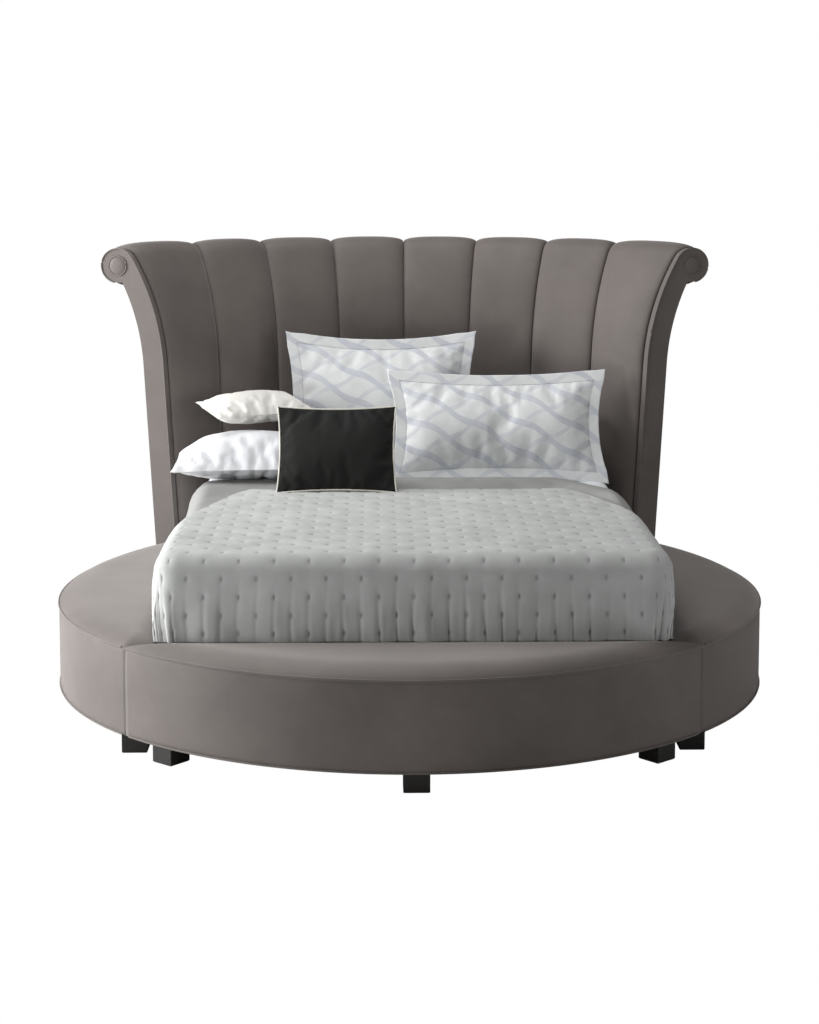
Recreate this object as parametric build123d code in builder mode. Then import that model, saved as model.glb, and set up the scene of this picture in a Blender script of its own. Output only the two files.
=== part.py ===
"""Round upholstered bed with a curved, channelled headboard that rolls over at the top.

Four upholstered bench modules make a round platform with a rectangular well in the middle.
A slatted deck in the well carries a box spring and a mattress, made up with bedding.
The headboard stands on the floor against the back of the platform.

Frame: millimetres, +Z up, the floor at z = 0, the origin on the floor under the centre of
the circle. The foot of the bed is towards -Y and the headboard towards +Y.
"""

import os
from math import acos, atan2, cos, degrees, hypot, radians, sin, sqrt

from build123d import *

os.makedirs("parts", exist_ok=True)

# Platform: its rim passes the corners of the mattress well at a set depth
corner_depth = 102
foot_height = 80
side_height = 352
crown_shares = [(0, 0), (0.04, 0.42), (0.15, 0.72), (0.46, 0.93), (1, 1)]
crown_width = 120
bench_crown = 42
boxing_thickness = 20
frame_wall = 18
board_thickness = 18
foam_depth = 40
module_gap = 0.3
piping_radius = 3.5
piping_play = 6
quarter_turn = 90
fit_gap = 0.3

# Feet: square blocks under the modules
foot_side = 100
foot_inset = 28
foot_chamfer = 4
front_foot_step = 70.6
side_foot_offset = 113
side_foot_step = 88
rear_foot_x = 520
rear_foot_set_back = 100

# Well, deck and mattress
mattress_width = 1930
mattress_length = 2030
mattress_height = 312
mattress_edge = 45
mattress_corner = 90
box_spring_height = 225
side_play = 20
end_play = 5
slat_count = 12
slat_width = 90
slat_thickness = 20
rail_height = 90
rail_thickness = 25
beam_width = 60
beam_height = 80
beam_leg_side = 60
beam_leg_pitch = 700
beam_leg_count = 3
deck_height = 230
deck_end_play = 6
filler_side_inset = 45
filler_play = 6
filler_chamfer = 12

# Headboard in plan: an arc that follows the rim of the platform
head_play = 1
head_half_angle = 49.3
channel_count = 8
end_plane_turn = 21
end_panel_thickness = 24
sweep_over = 7
rib_thickness = 18
head_frame_depth = 70
head_skin = 9
seam_pad = 30
middle_pad = 56
pad_swell_half_shares = [(0, 0), (0.06, 0.46), (0.16, 0.74), (0.32, 0.94), (0.5, 1)]
seam_gap_angle = 0.03
pad_clearance = 0.8
end_station_count = 5
disc_arc_count = 4

# Headboard in section: a leaning line, an arc and a roll, offset as one family
lean_angle = 3.3
lean_height = 885
neck_radius = 1126
neck_angle = 30
roll_core_radius = 52
roll_top_angle = 50
roll_end_angle = -65
rail_section = 60
head_foot_depth = 60
head_foot_width = 110
head_foot_angles = (-36, 0, 36)

# Bolts that hold the headboard to the rear module
bolt_radius = 5
bolt_play = 0.5
bolt_head_radius = 9
bolt_head_height = 6
bolt_height = 118
bolt_angles = (-18, 18)

# Bedding
sheet_thickness = 2
blanket_thickness = 5
quilt_thickness = 12
layer_gap = 0.3
hem_clearance = 2
quilt_turn_down = 560
blanket_turn_down = 240
turn_down_corner = 420

# Pillows: levels as shares of the thickness, each with the share of the outline there
pillow_level_shares = [(0, 1), (0.3, 0.95), (0.43, 0.82), (0.5, 0.5)]
pillow_corner = 40
flange_width = 50
flange_thickness = 8
flange_corner = 16
piping_side = 7

# Lower left pillow: lies on the bed, in from the side and the head of the mattress
lower_pillow_width = 680
lower_pillow_height = 460
lower_pillow_thickness = 225
lower_pillow_side_inset = 215
lower_pillow_head_inset = 250
lower_pillow_turn = 5
lower_pillow_tilt = 8

# Upper left pillow: lies on the lower one, at a bearing and a distance from the headboard
upper_pillow_width = 470
upper_pillow_height = 330
upper_pillow_thickness = 150
upper_pillow_bearing = -37.6
upper_pillow_set_back = 267
upper_pillow_turn = 25
upper_pillow_tilt = 6

# Right pillow: leans on the headboard behind the front sham
right_pillow_width = 560
right_pillow_height = 330
right_pillow_thickness = 130
right_pillow_bearing = 31.6
right_pillow_set_back = 142
right_pillow_turn = -35
right_pillow_tilt = 58

# Back sham: leans on the headboard
back_sham_width = 920
back_sham_height = 690
back_sham_thickness = 140
back_sham_bearing = -5.8
back_sham_set_back = 285
back_sham_tilt = 76

# Front sham: stands behind the fold of the blanket
front_sham_width = 1030
front_sham_height = 540
front_sham_thickness = 140
front_sham_side_inset = 525
front_sham_play = 33
front_sham_tilt = 69

# Accent cushion: stands on the quilt, in from its head edge
cushion_width = 540
cushion_height = 405
cushion_thickness = 115
cushion_offset = -327
cushion_inset = 72
cushion_tilt = 66


def write(part, name):
    """Label a finished piece and write it under its own name."""
    part.label = name
    export_step(part, f"parts/{name}.step")


# Heights and plan sizes that follow from the sizes above
body_bottom = foot_height
seam_height = body_bottom + side_height
bench_top = seam_height + bench_crown
well_half_x = mattress_width / 2 + side_play
well_half_y = mattress_length / 2 + end_play
platform_radius = hypot(well_half_x, well_half_y) + corner_depth
head_radius = platform_radius + head_play


def module_outline(limits, inset, height):
    """Plan of one bench module at a height: a rectangle cut to the circle."""
    x_low, x_high, y_low, y_high = limits
    with BuildSketch(Plane.XY.offset(height)) as plan:
        Circle(platform_radius - inset)
        with Locations(((x_low + x_high) / 2, (y_low + y_high) / 2)):
            Rectangle(
                x_high - x_low - 2 * inset, y_high - y_low - 2 * inset, mode=Mode.INTERSECT
            )
    return plan.sketch


def bench_frame(limits):
    """Plywood box of a module: walls and a deck, open below for the base board."""
    low = body_bottom + board_thickness
    deck = seam_height - foam_depth
    with BuildPart() as frame:
        extrude(module_outline(limits, boxing_thickness, low), deck - low)
        inner = module_outline(limits, boxing_thickness + frame_wall, low)
        extrude(inner, deck - low - board_thickness, mode=Mode.SUBTRACT)
    return frame


def bench_base(limits):
    """Board that closes the bottom of a module and takes its feet."""
    with BuildPart() as base:
        extrude(module_outline(limits, boxing_thickness, body_bottom), board_thickness)
    return base


def bench_boxing(limits):
    """Upholstered side that runs round a module, from its bottom edge to the seam."""
    with BuildPart() as boxing:
        extrude(module_outline(limits, 0, body_bottom), side_height)
        inner = module_outline(limits, boxing_thickness, body_bottom)
        extrude(inner, side_height, mode=Mode.SUBTRACT)
    return boxing


def bench_pad(limits):
    """Foam top of a module: a plug inside the boxing and a crown over it."""
    deck = seam_height - foam_depth
    with BuildPart() as pad:
        levels = [
            module_outline(limits, crown_width * inset, seam_height + bench_crown * rise)
            for inset, rise in crown_shares
        ]
        loft(sections=levels, ruled=True)
        extrude(module_outline(limits, boxing_thickness + fit_gap, deck), foam_depth)
    return pad


def edge_angles(limits):
    """Angles about the origin where a module's outer arc starts and stops."""
    face = module_outline(limits, 0, 0).faces()[0]
    arc = [e for e in face.outer_wire().edges() if on_circle(e)]
    ends = [e @ t for e in arc for t in (0, 1)]
    middle = arc[0] @ 0.5
    centre = degrees(atan2(middle.Y, middle.X))
    turns = [(degrees(atan2(p.Y, p.X)) - centre + 180) % 360 - 180 for p in ends]
    return centre + min(turns), centre + max(turns)


def on_circle(edge):
    """True for an edge that lies on the platform's rim."""
    middle = edge @ 0.5
    reach = sqrt(middle.X**2 + middle.Y**2)
    return edge.geom_type == GeomType.CIRCLE and abs(reach - platform_radius) < fit_gap


def bench_piping(limits):
    """Piping along the outer arc of a module, at the seam and at the bottom edge."""
    start, stop = edge_angles(limits)
    trim = degrees(module_gap / platform_radius)
    stop = min(stop, quarter_turn - head_half_angle - degrees(piping_play / platform_radius))
    reach = platform_radius + piping_radius + fit_gap
    start_plane = Plane(
        origin=(0, 0, 0),
        x_dir=(cos(radians(start + trim)), sin(radians(start + trim)), 0),
        z_dir=(sin(radians(start + trim)), -cos(radians(start + trim)), 0),
    )
    with BuildPart() as piping:
        with BuildSketch(start_plane):
            with Locations((reach, seam_height), (reach, body_bottom + piping_radius)):
                Circle(piping_radius)
        revolve(axis=Axis.Z, revolution_arc=stop - start - 2 * trim)
    return piping


def feet(places):
    """Square block feet, each at a place and turned about its own upright."""
    with BuildPart() as blocks:
        for x, y, turn in places:
            with BuildSketch(Plane.XY):
                with Locations(Location((x, y, 0), (0, 0, turn))):
                    Rectangle(foot_side, foot_side)
            extrude(amount=foot_height)
        bottoms = blocks.faces().filter_by(Plane.XY).group_by(Axis.Z)[0]
        chamfer(bottoms.edges(), foot_chamfer)
    return blocks


# Bench modules: the limits of each in plan, in the order x low, x high, y low, y high.
# The left module is the right one mirrored.
rim = platform_radius + module_gap
side_end = well_half_y - module_gap
modules = {
    "front_bench": (-rim, rim, -rim, -well_half_y),
    "rear_bench": (-rim, rim, well_half_y, rim),
    "right_bench": (well_half_x, rim, -side_end, side_end),
}

# Feet: the outer ones stand a fixed inset behind the rim
foot_ring = platform_radius - foot_inset - foot_side / 2
front_foot_turn = degrees(acos((well_half_y + front_foot_step) / foot_ring))
turn = radians(front_foot_turn)
side_foot_x = well_half_x + side_foot_offset
side_foot_y = well_half_y - side_foot_step
rear_foot_y = well_half_y + rear_foot_set_back
foot_places = {
    "front_bench": [
        (0, -foot_ring, 0),
        (-foot_ring * sin(turn), -foot_ring * cos(turn), -front_foot_turn),
        (foot_ring * sin(turn), -foot_ring * cos(turn), front_foot_turn),
    ],
    "rear_bench": [(-rear_foot_x, rear_foot_y, 0), (rear_foot_x, rear_foot_y, 0)],
    "right_bench": [
        (side_foot_x, -side_foot_y, 0),
        (foot_ring, 0, 0),
        (side_foot_x, side_foot_y, 0),
    ],
}

# The bolts run from inside the rear module's wall into the headboard's bottom rail
bolt_inner = platform_radius - boxing_thickness - frame_wall - fit_gap
bolt_length = head_radius + head_frame_depth - head_skin - bolt_inner - fit_gap


def bolt_plane(angle):
    """Plane of one headboard bolt, pointing out from the centre of the arc."""
    out = (sin(radians(angle)), cos(radians(angle)), 0)
    start = (out[0] * bolt_inner, out[1] * bolt_inner, bolt_height)
    return Plane(origin=start, z_dir=out)


def bolt_holes():
    """Rods the size of the bolts' clearance holes, to cut from the pieces they pass."""
    with BuildPart() as drill:
        for angle in bolt_angles:
            with BuildSketch(bolt_plane(angle)):
                Circle(bolt_radius + bolt_play)
            extrude(amount=bolt_length, both=True)
    return drill.part


for name, limits in modules.items():
    frame_part = bench_frame(limits).part
    boxing_part = bench_boxing(limits).part
    if name == "rear_bench":
        frame_part = frame_part - bolt_holes()
        boxing_part = boxing_part - bolt_holes()
    pieces = {
        "frame": frame_part,
        "base": bench_base(limits).part,
        "boxing": boxing_part,
        "pad": bench_pad(limits).part,
        "feet": feet(foot_places[name]).part,
    }
    if name != "rear_bench":
        pieces["piping"] = bench_piping(limits).part
    for kind, piece in pieces.items():
        write(piece, f"{name}_{kind}")
        if name == "right_bench":
            write(mirror(piece, about=Plane.YZ), f"left_bench_{kind}")

# Deck: two side rails, a centre beam on legs, and slats across them
rail_top = deck_height - slat_thickness
for side, name in ((-1, "left_deck_rail"), (1, "right_deck_rail")):
    with BuildPart() as rail:
        with BuildSketch(Plane.XY.offset(rail_top - rail_height)):
            with Locations((side * (well_half_x - rail_thickness / 2), 0)):
                Rectangle(rail_thickness, 2 * (well_half_y - deck_end_play))
        extrude(amount=rail_height)
    write(rail.part, name)

with BuildPart() as beam:
    with BuildSketch(Plane.XY.offset(rail_top - beam_height)):
        Rectangle(beam_width, 2 * (well_half_y - deck_end_play))
    extrude(amount=beam_height)
write(beam.part, "centre_beam")

with BuildPart() as beam_legs:
    with BuildSketch():
        with GridLocations(beam_width, beam_leg_pitch, 1, beam_leg_count):
            Rectangle(beam_leg_side, beam_leg_side)
    extrude(amount=rail_top - beam_height)
write(beam_legs.part, "centre_beam_legs")

slat_pitch = (2 * (well_half_y - deck_end_play) - slat_width) / (slat_count - 1)
with BuildPart() as slats:
    with BuildSketch(Plane.XY.offset(rail_top)):
        with GridLocations(beam_width, slat_pitch, 1, slat_count):
            Rectangle(2 * (well_half_x - deck_end_play), slat_width)
    extrude(amount=slat_thickness)
write(slats.part, "deck_slats")


def upright_block(grow, low, high, edge):
    """Block with the mattress's plan, grown all round, with rounded uprights and top edge."""
    with BuildPart() as block:
        with BuildSketch(Plane.XY.offset(low)):
            RectangleRounded(
                mattress_width + 2 * grow, mattress_length + 2 * grow, mattress_corner + grow
            )
        extrude(amount=high - low)
        if edge:
            fillet(block.faces().sort_by(Axis.Z)[-1].edges(), edge + grow)
    return block


mattress_bottom = deck_height + box_spring_height
mattress_top = mattress_bottom + mattress_height
write(upright_block(0, deck_height, mattress_bottom, 0).part, "box_spring")
with BuildPart() as mattress:
    add(upright_block(0, mattress_bottom, mattress_top, mattress_edge).part)
write(mattress.part, "mattress")


def cover_layer(inside, thickness, hem, turn_down):
    """Layer of bedding over the mattress, from a hem up, turned down from the head."""
    head_edge = mattress_length / 2 - turn_down
    with BuildPart() as layer:
        outside = inside + thickness
        add(upright_block(outside, hem, mattress_top + outside, mattress_edge).part)
        add(
            upright_block(inside, hem, mattress_top + inside, mattress_edge).part,
            mode=Mode.SUBTRACT,
        )
        if turn_down:
            reach = mattress_width + 2 * (outside + hem_clearance)
            foot = mattress_length + 2 * outside
            with BuildSketch(Plane.XY.offset(hem - hem_clearance)) as plan:
                with Locations((0, head_edge - foot / 2)):
                    Rectangle(reach, foot)
                fillet(plan.vertices().group_by(Axis.Y)[-1], turn_down_corner)
            extrude(amount=mattress_top + foot_height, mode=Mode.INTERSECT)
    return layer


sheet_inside = layer_gap
blanket_inside = sheet_inside + sheet_thickness + layer_gap
quilt_inside = blanket_inside + blanket_thickness + layer_gap
hem_height = bench_top + hem_clearance
write(cover_layer(sheet_inside, sheet_thickness, hem_height, 0).part, "fitted_sheet")
write(
    cover_layer(blanket_inside, blanket_thickness, hem_height, blanket_turn_down).part,
    "blanket",
)
write(cover_layer(quilt_inside, quilt_thickness, hem_height, quilt_turn_down).part, "quilt")

# Upholstered filler behind the mattress, level with its top
with BuildPart() as filler:
    with BuildSketch(Plane.XY.offset(bench_top + layer_gap)):
        Circle(head_radius - middle_pad - filler_play)
        with Locations((0, well_half_y + head_radius / 2 + filler_play)):
            Rectangle(2 * (well_half_x - filler_side_inset), head_radius, mode=Mode.INTERSECT)
    extrude(amount=mattress_top - bench_top)
    chamfer(filler.faces().sort_by(Axis.Z)[-1].edges(), filler_chamfer)
write(filler.part, "head_filler")


# Headboard: radial section planes hold the family of offset profiles
lean = radians(lean_angle)
neck = radians(neck_angle)
across = (cos(lean), -sin(lean))
lean_end = (head_radius + lean_height * sin(lean) / cos(lean), seam_height + lean_height)
neck_centre = (lean_end[0] + neck_radius * across[0], lean_end[1] + neck_radius * across[1])
neck_reach = neck_radius - roll_core_radius
roll_centre = (
    neck_centre[0] - neck_reach * cos(neck),
    neck_centre[1] + neck_reach * sin(neck),
)


def radial_plane(angle):
    """Upright plane through the centre of the arc, x outwards and y up."""
    turn = radians(angle)
    return Plane(origin=(0, 0, 0), x_dir=(sin(turn), cos(turn), 0), z_dir=(cos(turn), -sin(turn), 0))


def lean_point(height, offset):
    """Point of the leaning line at a height, moved forwards by an offset."""
    along = (height - seam_height) * sin(lean) / cos(lean)
    return (head_radius + along - offset * cos(lean), height + offset * sin(lean))


def neck_point(angle, offset):
    """Point of the neck's arc at an angle from upright, moved forwards by an offset."""
    reach = neck_radius + offset
    turn = radians(angle)
    return (neck_centre[0] - reach * cos(turn), neck_centre[1] + reach * sin(turn))


def roll_point(angle, offset):
    """Point round the roll at an angle above level, moved outwards by an offset."""
    reach = roll_core_radius + offset
    turn = radians(angle)
    return (roll_centre[0] + reach * cos(turn), roll_centre[1] + reach * sin(turn))


neck_middle = (lean_angle + neck_angle) / 2
roll_start_angle = 180 - neck_angle
roll_middle_high = (roll_start_angle + roll_top_angle) / 2
roll_middle_low = (roll_top_angle + roll_end_angle) / 2
pad_bottom = bench_top + hem_clearance


def pad_profile(angle, thickness, skin):
    """Closed outline of a pad in a radial plane, between two offsets from the frame."""
    with BuildSketch(radial_plane(angle)) as outline:
        with BuildLine():
            Line(lean_point(pad_bottom, skin), lean_point(pad_bottom, thickness))
            Line(lean_point(pad_bottom, thickness), lean_point(lean_end[1], thickness))
            ThreePointArc(
                lean_point(lean_end[1], thickness),
                neck_point(neck_middle, thickness),
                neck_point(neck_angle, thickness),
            )
            ThreePointArc(
                neck_point(neck_angle, thickness),
                roll_point(roll_middle_high, thickness),
                roll_point(roll_top_angle, thickness),
            )
            ThreePointArc(
                roll_point(roll_top_angle, thickness),
                roll_point(roll_middle_low, thickness),
                roll_point(roll_end_angle, thickness),
            )
            Line(roll_point(roll_end_angle, thickness), roll_point(roll_end_angle, skin))
            ThreePointArc(
                roll_point(roll_end_angle, skin),
                roll_point(roll_middle_low, skin),
                roll_point(roll_top_angle, skin),
            )
            ThreePointArc(
                roll_point(roll_top_angle, skin),
                roll_point(roll_middle_high, skin),
                neck_point(neck_angle, skin),
            )
            ThreePointArc(
                neck_point(neck_angle, skin),
                neck_point(neck_middle, skin),
                lean_point(lean_end[1], skin),
            )
            Line(lean_point(lean_end[1], skin), lean_point(pad_bottom, skin))
        make_face()
    return outline.sketch


def wall_profile(plane, front, back, bottom):
    """Closed outline of a panel between two offsets, from a height up into the roll."""
    with BuildSketch(plane) as outline:
        with BuildLine():
            Polyline(
                lean_point(lean_end[1], back),
                (head_radius - back, seam_height),
                (head_radius - back, bottom),
                (head_radius - front, bottom),
                (head_radius - front, seam_height),
                lean_point(lean_end[1], front),
            )
            ThreePointArc(
                lean_point(lean_end[1], front),
                neck_point(neck_middle, front),
                neck_point(neck_angle, front),
            )
            Line(neck_point(neck_angle, front), neck_point(neck_angle, back))
            ThreePointArc(
                neck_point(neck_angle, back),
                neck_point(neck_middle, back),
                lean_point(lean_end[1], back),
            )
        make_face()
    return outline.sketch


def swept(profile_of, start, stop):
    """Solid made by turning a radial outline about the centre of the arc."""
    with BuildPart() as turned:
        add(profile_of(radial_plane(stop)))
        revolve(axis=Axis.Z, revolution_arc=stop - start)
    return turned.part


def roll_outline(plane, radius):
    """Round outline of the roll in a radial plane."""
    with BuildSketch(plane) as outline:
        with Locations(roll_centre):
            Circle(radius)
    return outline.sketch


# End planes: each stands through a front corner of the frame, turned away from the radius
def end_plane(side):
    """Upright plane of an end of the headboard, facing away from it."""
    base = radians(head_half_angle)
    corner = (side * head_radius * sin(base), head_radius * cos(base), 0)
    turn = radians(head_half_angle + end_plane_turn)
    normal = (side * cos(turn), -sin(turn), 0)
    return Plane(origin=corner, x_dir=(side * sin(turn), cos(turn), 0), z_dir=normal)


def end_slab(side, inner, outer):
    """Upright slab along an end of the headboard, between two distances from its plane."""
    with BuildPart() as slab:
        with BuildSketch(end_plane(side).offset(-inner)):
            Rectangle(2 * head_radius, 4 * head_radius)
        extrude(amount=inner - outer)
    return slab.part


def between_ends(solid, inset):
    """Trim a turned solid to the two end planes, drawn in by an inset."""
    for side in (-1, 1):
        solid = solid - end_slab(side, inset, -platform_radius)
    return solid


full_turn = head_half_angle + sweep_over
roll_core = swept(lambda plane: roll_outline(plane, roll_core_radius), -full_turn, full_turn)
roll_space = swept(
    lambda plane: roll_outline(plane, roll_core_radius + fit_gap), -full_turn, full_turn
)
write(between_ends(roll_core, end_panel_thickness), "headboard_roll_core")

front_skin = swept(
    lambda plane: wall_profile(plane, 0, -head_skin, body_bottom), -full_turn, full_turn
)
front_skin = between_ends(front_skin, end_panel_thickness) - roll_space - bolt_holes()
write(front_skin, "headboard_front_skin")

back_skin = swept(
    lambda plane: wall_profile(plane, head_skin - head_frame_depth, -head_frame_depth, body_bottom),
    -full_turn,
    full_turn,
)
back_skin = between_ends(back_skin, end_panel_thickness) - roll_space
write(back_skin, "headboard_back_skin")

# Bottom rail between the skins, then a rib at every seam between two channels
with BuildPart() as bottom_rail:
    with BuildSketch(radial_plane(full_turn)):
        rail_reach = head_radius + head_frame_depth / 2
        with Locations((rail_reach, body_bottom + rail_section / 2)):
            Rectangle(head_frame_depth - 2 * head_skin, rail_section)
    revolve(axis=Axis.Z, revolution_arc=2 * full_turn)
write(
    between_ends(bottom_rail.part, end_panel_thickness) - bolt_holes(), "headboard_bottom_rail"
)

channel_angle = 2 * head_half_angle / channel_count
rib_angles = [(i - channel_count / 2) * channel_angle for i in range(1, channel_count)]
with BuildPart() as ribs:
    for angle in rib_angles:
        outline = wall_profile(
            radial_plane(angle),
            -head_skin,
            head_skin - head_frame_depth + fit_gap,
            body_bottom + rail_section,
        )
        extrude(outline, amount=rib_thickness / 2, both=True)
write(ribs.part - roll_space, "headboard_ribs")

# Channel pads: lofts through radial sections that swell between the seams
pad_swell_shares = pad_swell_half_shares + [
    (1 - x, swell) for x, swell in reversed(pad_swell_half_shares[:-1])
]
for i in range(channel_count // 2):
    start = (i - channel_count / 2) * channel_angle + seam_gap_angle
    stop = start + channel_angle - 2 * seam_gap_angle
    stations = [(start + (stop - start) * x, swell) for x, swell in pad_swell_shares]
    if i == 0:
        steps = [sweep_over * (1 - x / end_station_count) for x in range(end_station_count)]
        stations = [(start - step, 0) for step in steps] + stations
    with BuildPart() as pad:
        loft(
            sections=[
                pad_profile(angle, seam_pad + (middle_pad - seam_pad) * swell, pad_clearance)
                for angle, swell in stations
            ],
            ruled=True,
        )
    solid = pad.part
    if i == 0:
        solid = solid & end_slab(-1, platform_radius, end_panel_thickness + fit_gap)
    write(solid, f"headboard_channel_{i + 1}")
    write(mirror(solid, about=Plane.YZ), f"headboard_channel_{channel_count - i}")


# The disc at the end of the roll meets the line of the back at this angle of the neck
disc_radius = roll_core_radius + seam_pad
back_radius = neck_radius - head_frame_depth
meet_cosine = (back_radius**2 + neck_reach**2 - disc_radius**2) / (2 * back_radius * neck_reach)
meet_angle = neck_angle - degrees(acos(meet_cosine))
meet_point = neck_point(meet_angle, -head_frame_depth)
disc_start = degrees(atan2(meet_point[1] - roll_centre[1], meet_point[0] - roll_centre[0]))


def end_outline(inset):
    """Section of the whole headboard with its padding, cut by an end plane or inside it."""

    def on_end(point):
        """Place on the cut of a point of the radial section."""
        reach, height = point
        turn = radians(end_plane_turn)
        beside = head_radius * sin(turn) + inset
        return (sqrt(reach**2 - beside**2) - head_radius * cos(turn), height)

    back = -head_frame_depth
    span = roll_start_angle - disc_start
    turns = [disc_start + span * i / (2 * disc_arc_count) for i in range(2 * disc_arc_count + 1)]
    disc = [on_end(roll_point(angle, seam_pad)) for angle in turns]
    with BuildSketch(end_plane(1).offset(-inset)) as outline:
        with BuildLine():
            Polyline(
                on_end((head_radius - back, body_bottom)),
                on_end((head_radius - back, seam_height)),
                on_end(lean_point(lean_end[1], back)),
            )
            ThreePointArc(
                on_end(lean_point(lean_end[1], back)),
                on_end(neck_point((lean_angle + meet_angle) / 2, back)),
                disc[0],
            )
            for i in range(disc_arc_count):
                ThreePointArc(disc[2 * i], disc[2 * i + 1], disc[2 * i + 2])
            ThreePointArc(
                disc[-1],
                on_end(neck_point(neck_middle, seam_pad)),
                on_end(lean_point(lean_end[1], seam_pad)),
            )
            Polyline(
                on_end(lean_point(lean_end[1], seam_pad)),
                on_end(lean_point(pad_bottom, seam_pad)),
                on_end(lean_point(pad_bottom, 0)),
                on_end((head_radius, seam_height)),
                on_end((head_radius, body_bottom)),
                on_end((head_radius - back, body_bottom)),
            )
        make_face()
    return outline.sketch


# End panels: boards at the end planes; the left one is the right one mirrored
with BuildPart() as right_end:
    loft(sections=[end_outline(0), end_outline(end_panel_thickness)], ruled=True)
write(right_end.part, "headboard_right_end")
write(mirror(right_end.part, about=Plane.YZ), "headboard_left_end")

# Headboard feet under the bottom rail
with BuildPart() as head_feet:
    for angle in head_foot_angles:
        with BuildSketch(Plane(origin=(0, 0, 0), x_dir=(sin(radians(angle)), cos(radians(angle)), 0))):
            with Locations((head_radius + head_frame_depth / 2, 0)):
                Rectangle(head_foot_depth, head_foot_width)
        extrude(amount=foot_height)
write(head_feet.part, "headboard_feet")

# Bolts: a shank in the bottom rail and a head inside the rear module
with BuildPart() as bolts:
    for angle in bolt_angles:
        with BuildSketch(bolt_plane(angle)):
            Circle(bolt_radius)
        extrude(amount=bolt_length)
        with BuildSketch(bolt_plane(angle)):
            Circle(bolt_head_radius)
        extrude(amount=-bolt_head_height)
write(bolts.part, "headboard_bolts")


# Pillows: each is a stack of rounded outlines about its own middle plane
def pillow_plane(x, y, z, yaw, tilt):
    """Middle plane of a pillow: x along its width, y up its face, turned and tilted."""
    spin = radians(yaw)
    rise = radians(tilt)
    width_dir = (cos(spin), sin(spin), 0)
    normal = (sin(spin) * sin(rise), -cos(spin) * sin(rise), cos(rise))
    return Plane(origin=(x, y, z), x_dir=width_dir, z_dir=normal)


def pillow(plane, width, height, thickness, flange):
    """Crowned pillow with drawn-in faces, and a flat flange round it where asked for."""
    with BuildPart() as body:
        levels = []
        for side in (-1, 1):
            for level, share in pillow_level_shares:
                levels.append((side * level * thickness, share))
        outlines = []
        for offset, share in sorted(set(levels)):
            with BuildSketch(plane.offset(offset)) as outline:
                RectangleRounded(
                    (width - 2 * flange) * share, (height - 2 * flange) * share, pillow_corner * share
                )
            outlines.append(outline.sketch)
        loft(sections=outlines, ruled=True)
        if flange:
            with BuildSketch(plane.offset(-flange_thickness / 2)):
                RectangleRounded(width, height, flange_corner)
            extrude(amount=flange_thickness)
    return body.part


def rest_drop(height, thickness, tilt, flange=0, border=0, rim=0):
    """How far the lowest point of a tilted pillow lies below its middle.

    The border is how far a cord stands out of the outline, and the rim is the thickness
    of the flange or cord.
    """
    rise = radians(tilt)
    drops = [
        (height / 2 - flange) * share * sin(rise) + level * thickness * cos(rise)
        for level, share in pillow_level_shares
    ]
    drops.append((height / 2 + border) * sin(rise) + rim / 2 * cos(rise))
    return max(drops)


def against_headboard(bearing, set_back):
    """Place in plan at a bearing from the foot-to-head axis, in from the headboard's pads."""
    reach = head_radius - middle_pad - set_back
    return (reach * sin(radians(bearing)), reach * cos(radians(bearing)))


# Heights that the pillows rest on
sheet_top = mattress_top + sheet_inside + sheet_thickness
blanket_top = mattress_top + blanket_inside + blanket_thickness
quilt_top = mattress_top + quilt_inside + quilt_thickness
blanket_edge = mattress_length / 2 - blanket_turn_down
quilt_edge = mattress_length / 2 - quilt_turn_down
filler_top = mattress_top + layer_gap


lower_drop = rest_drop(lower_pillow_height, lower_pillow_thickness, lower_pillow_tilt)
upper_drop = rest_drop(upper_pillow_height, upper_pillow_thickness, upper_pillow_tilt)
right_drop = rest_drop(right_pillow_height, right_pillow_thickness, right_pillow_tilt)
back_sham_drop = rest_drop(
    back_sham_height, back_sham_thickness, back_sham_tilt, flange_width, 0, flange_thickness
)
front_sham_drop = rest_drop(
    front_sham_height, front_sham_thickness, front_sham_tilt, flange_width, 0, flange_thickness
)
cushion_border = piping_side + fit_gap
cushion_drop = rest_drop(
    cushion_height, cushion_thickness, cushion_tilt, 0, cushion_border, piping_side
)
lower_z = blanket_top + layer_gap + lower_drop
front_sham_low = front_sham_height / 2 * cos(radians(front_sham_tilt))
cushion_low = (cushion_height / 2 + cushion_border) * cos(radians(cushion_tilt))
pillows = {
    "left_lower_pillow": (
        lower_pillow_side_inset - mattress_width / 2,
        mattress_length / 2 - lower_pillow_head_inset,
        lower_z,
        lower_pillow_turn,
        lower_pillow_tilt,
    ),
    "left_upper_pillow": (
        *against_headboard(upper_pillow_bearing, upper_pillow_set_back),
        lower_z + lower_drop + layer_gap + upper_drop,
        upper_pillow_turn,
        upper_pillow_tilt,
    ),
    "right_pillow": (
        *against_headboard(right_pillow_bearing, right_pillow_set_back),
        sheet_top + layer_gap + right_drop,
        right_pillow_turn,
        right_pillow_tilt,
    ),
    "back_sham": (
        *against_headboard(back_sham_bearing, back_sham_set_back),
        filler_top + layer_gap + back_sham_drop,
        0,
        back_sham_tilt,
    ),
    "front_sham": (
        mattress_width / 2 - front_sham_side_inset,
        blanket_edge + front_sham_play + front_sham_low,
        sheet_top + layer_gap + front_sham_drop,
        0,
        front_sham_tilt,
    ),
    "accent_cushion": (
        cushion_offset,
        quilt_edge - cushion_inset + cushion_low,
        quilt_top + layer_gap + cushion_drop,
        0,
        cushion_tilt,
    ),
}
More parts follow.
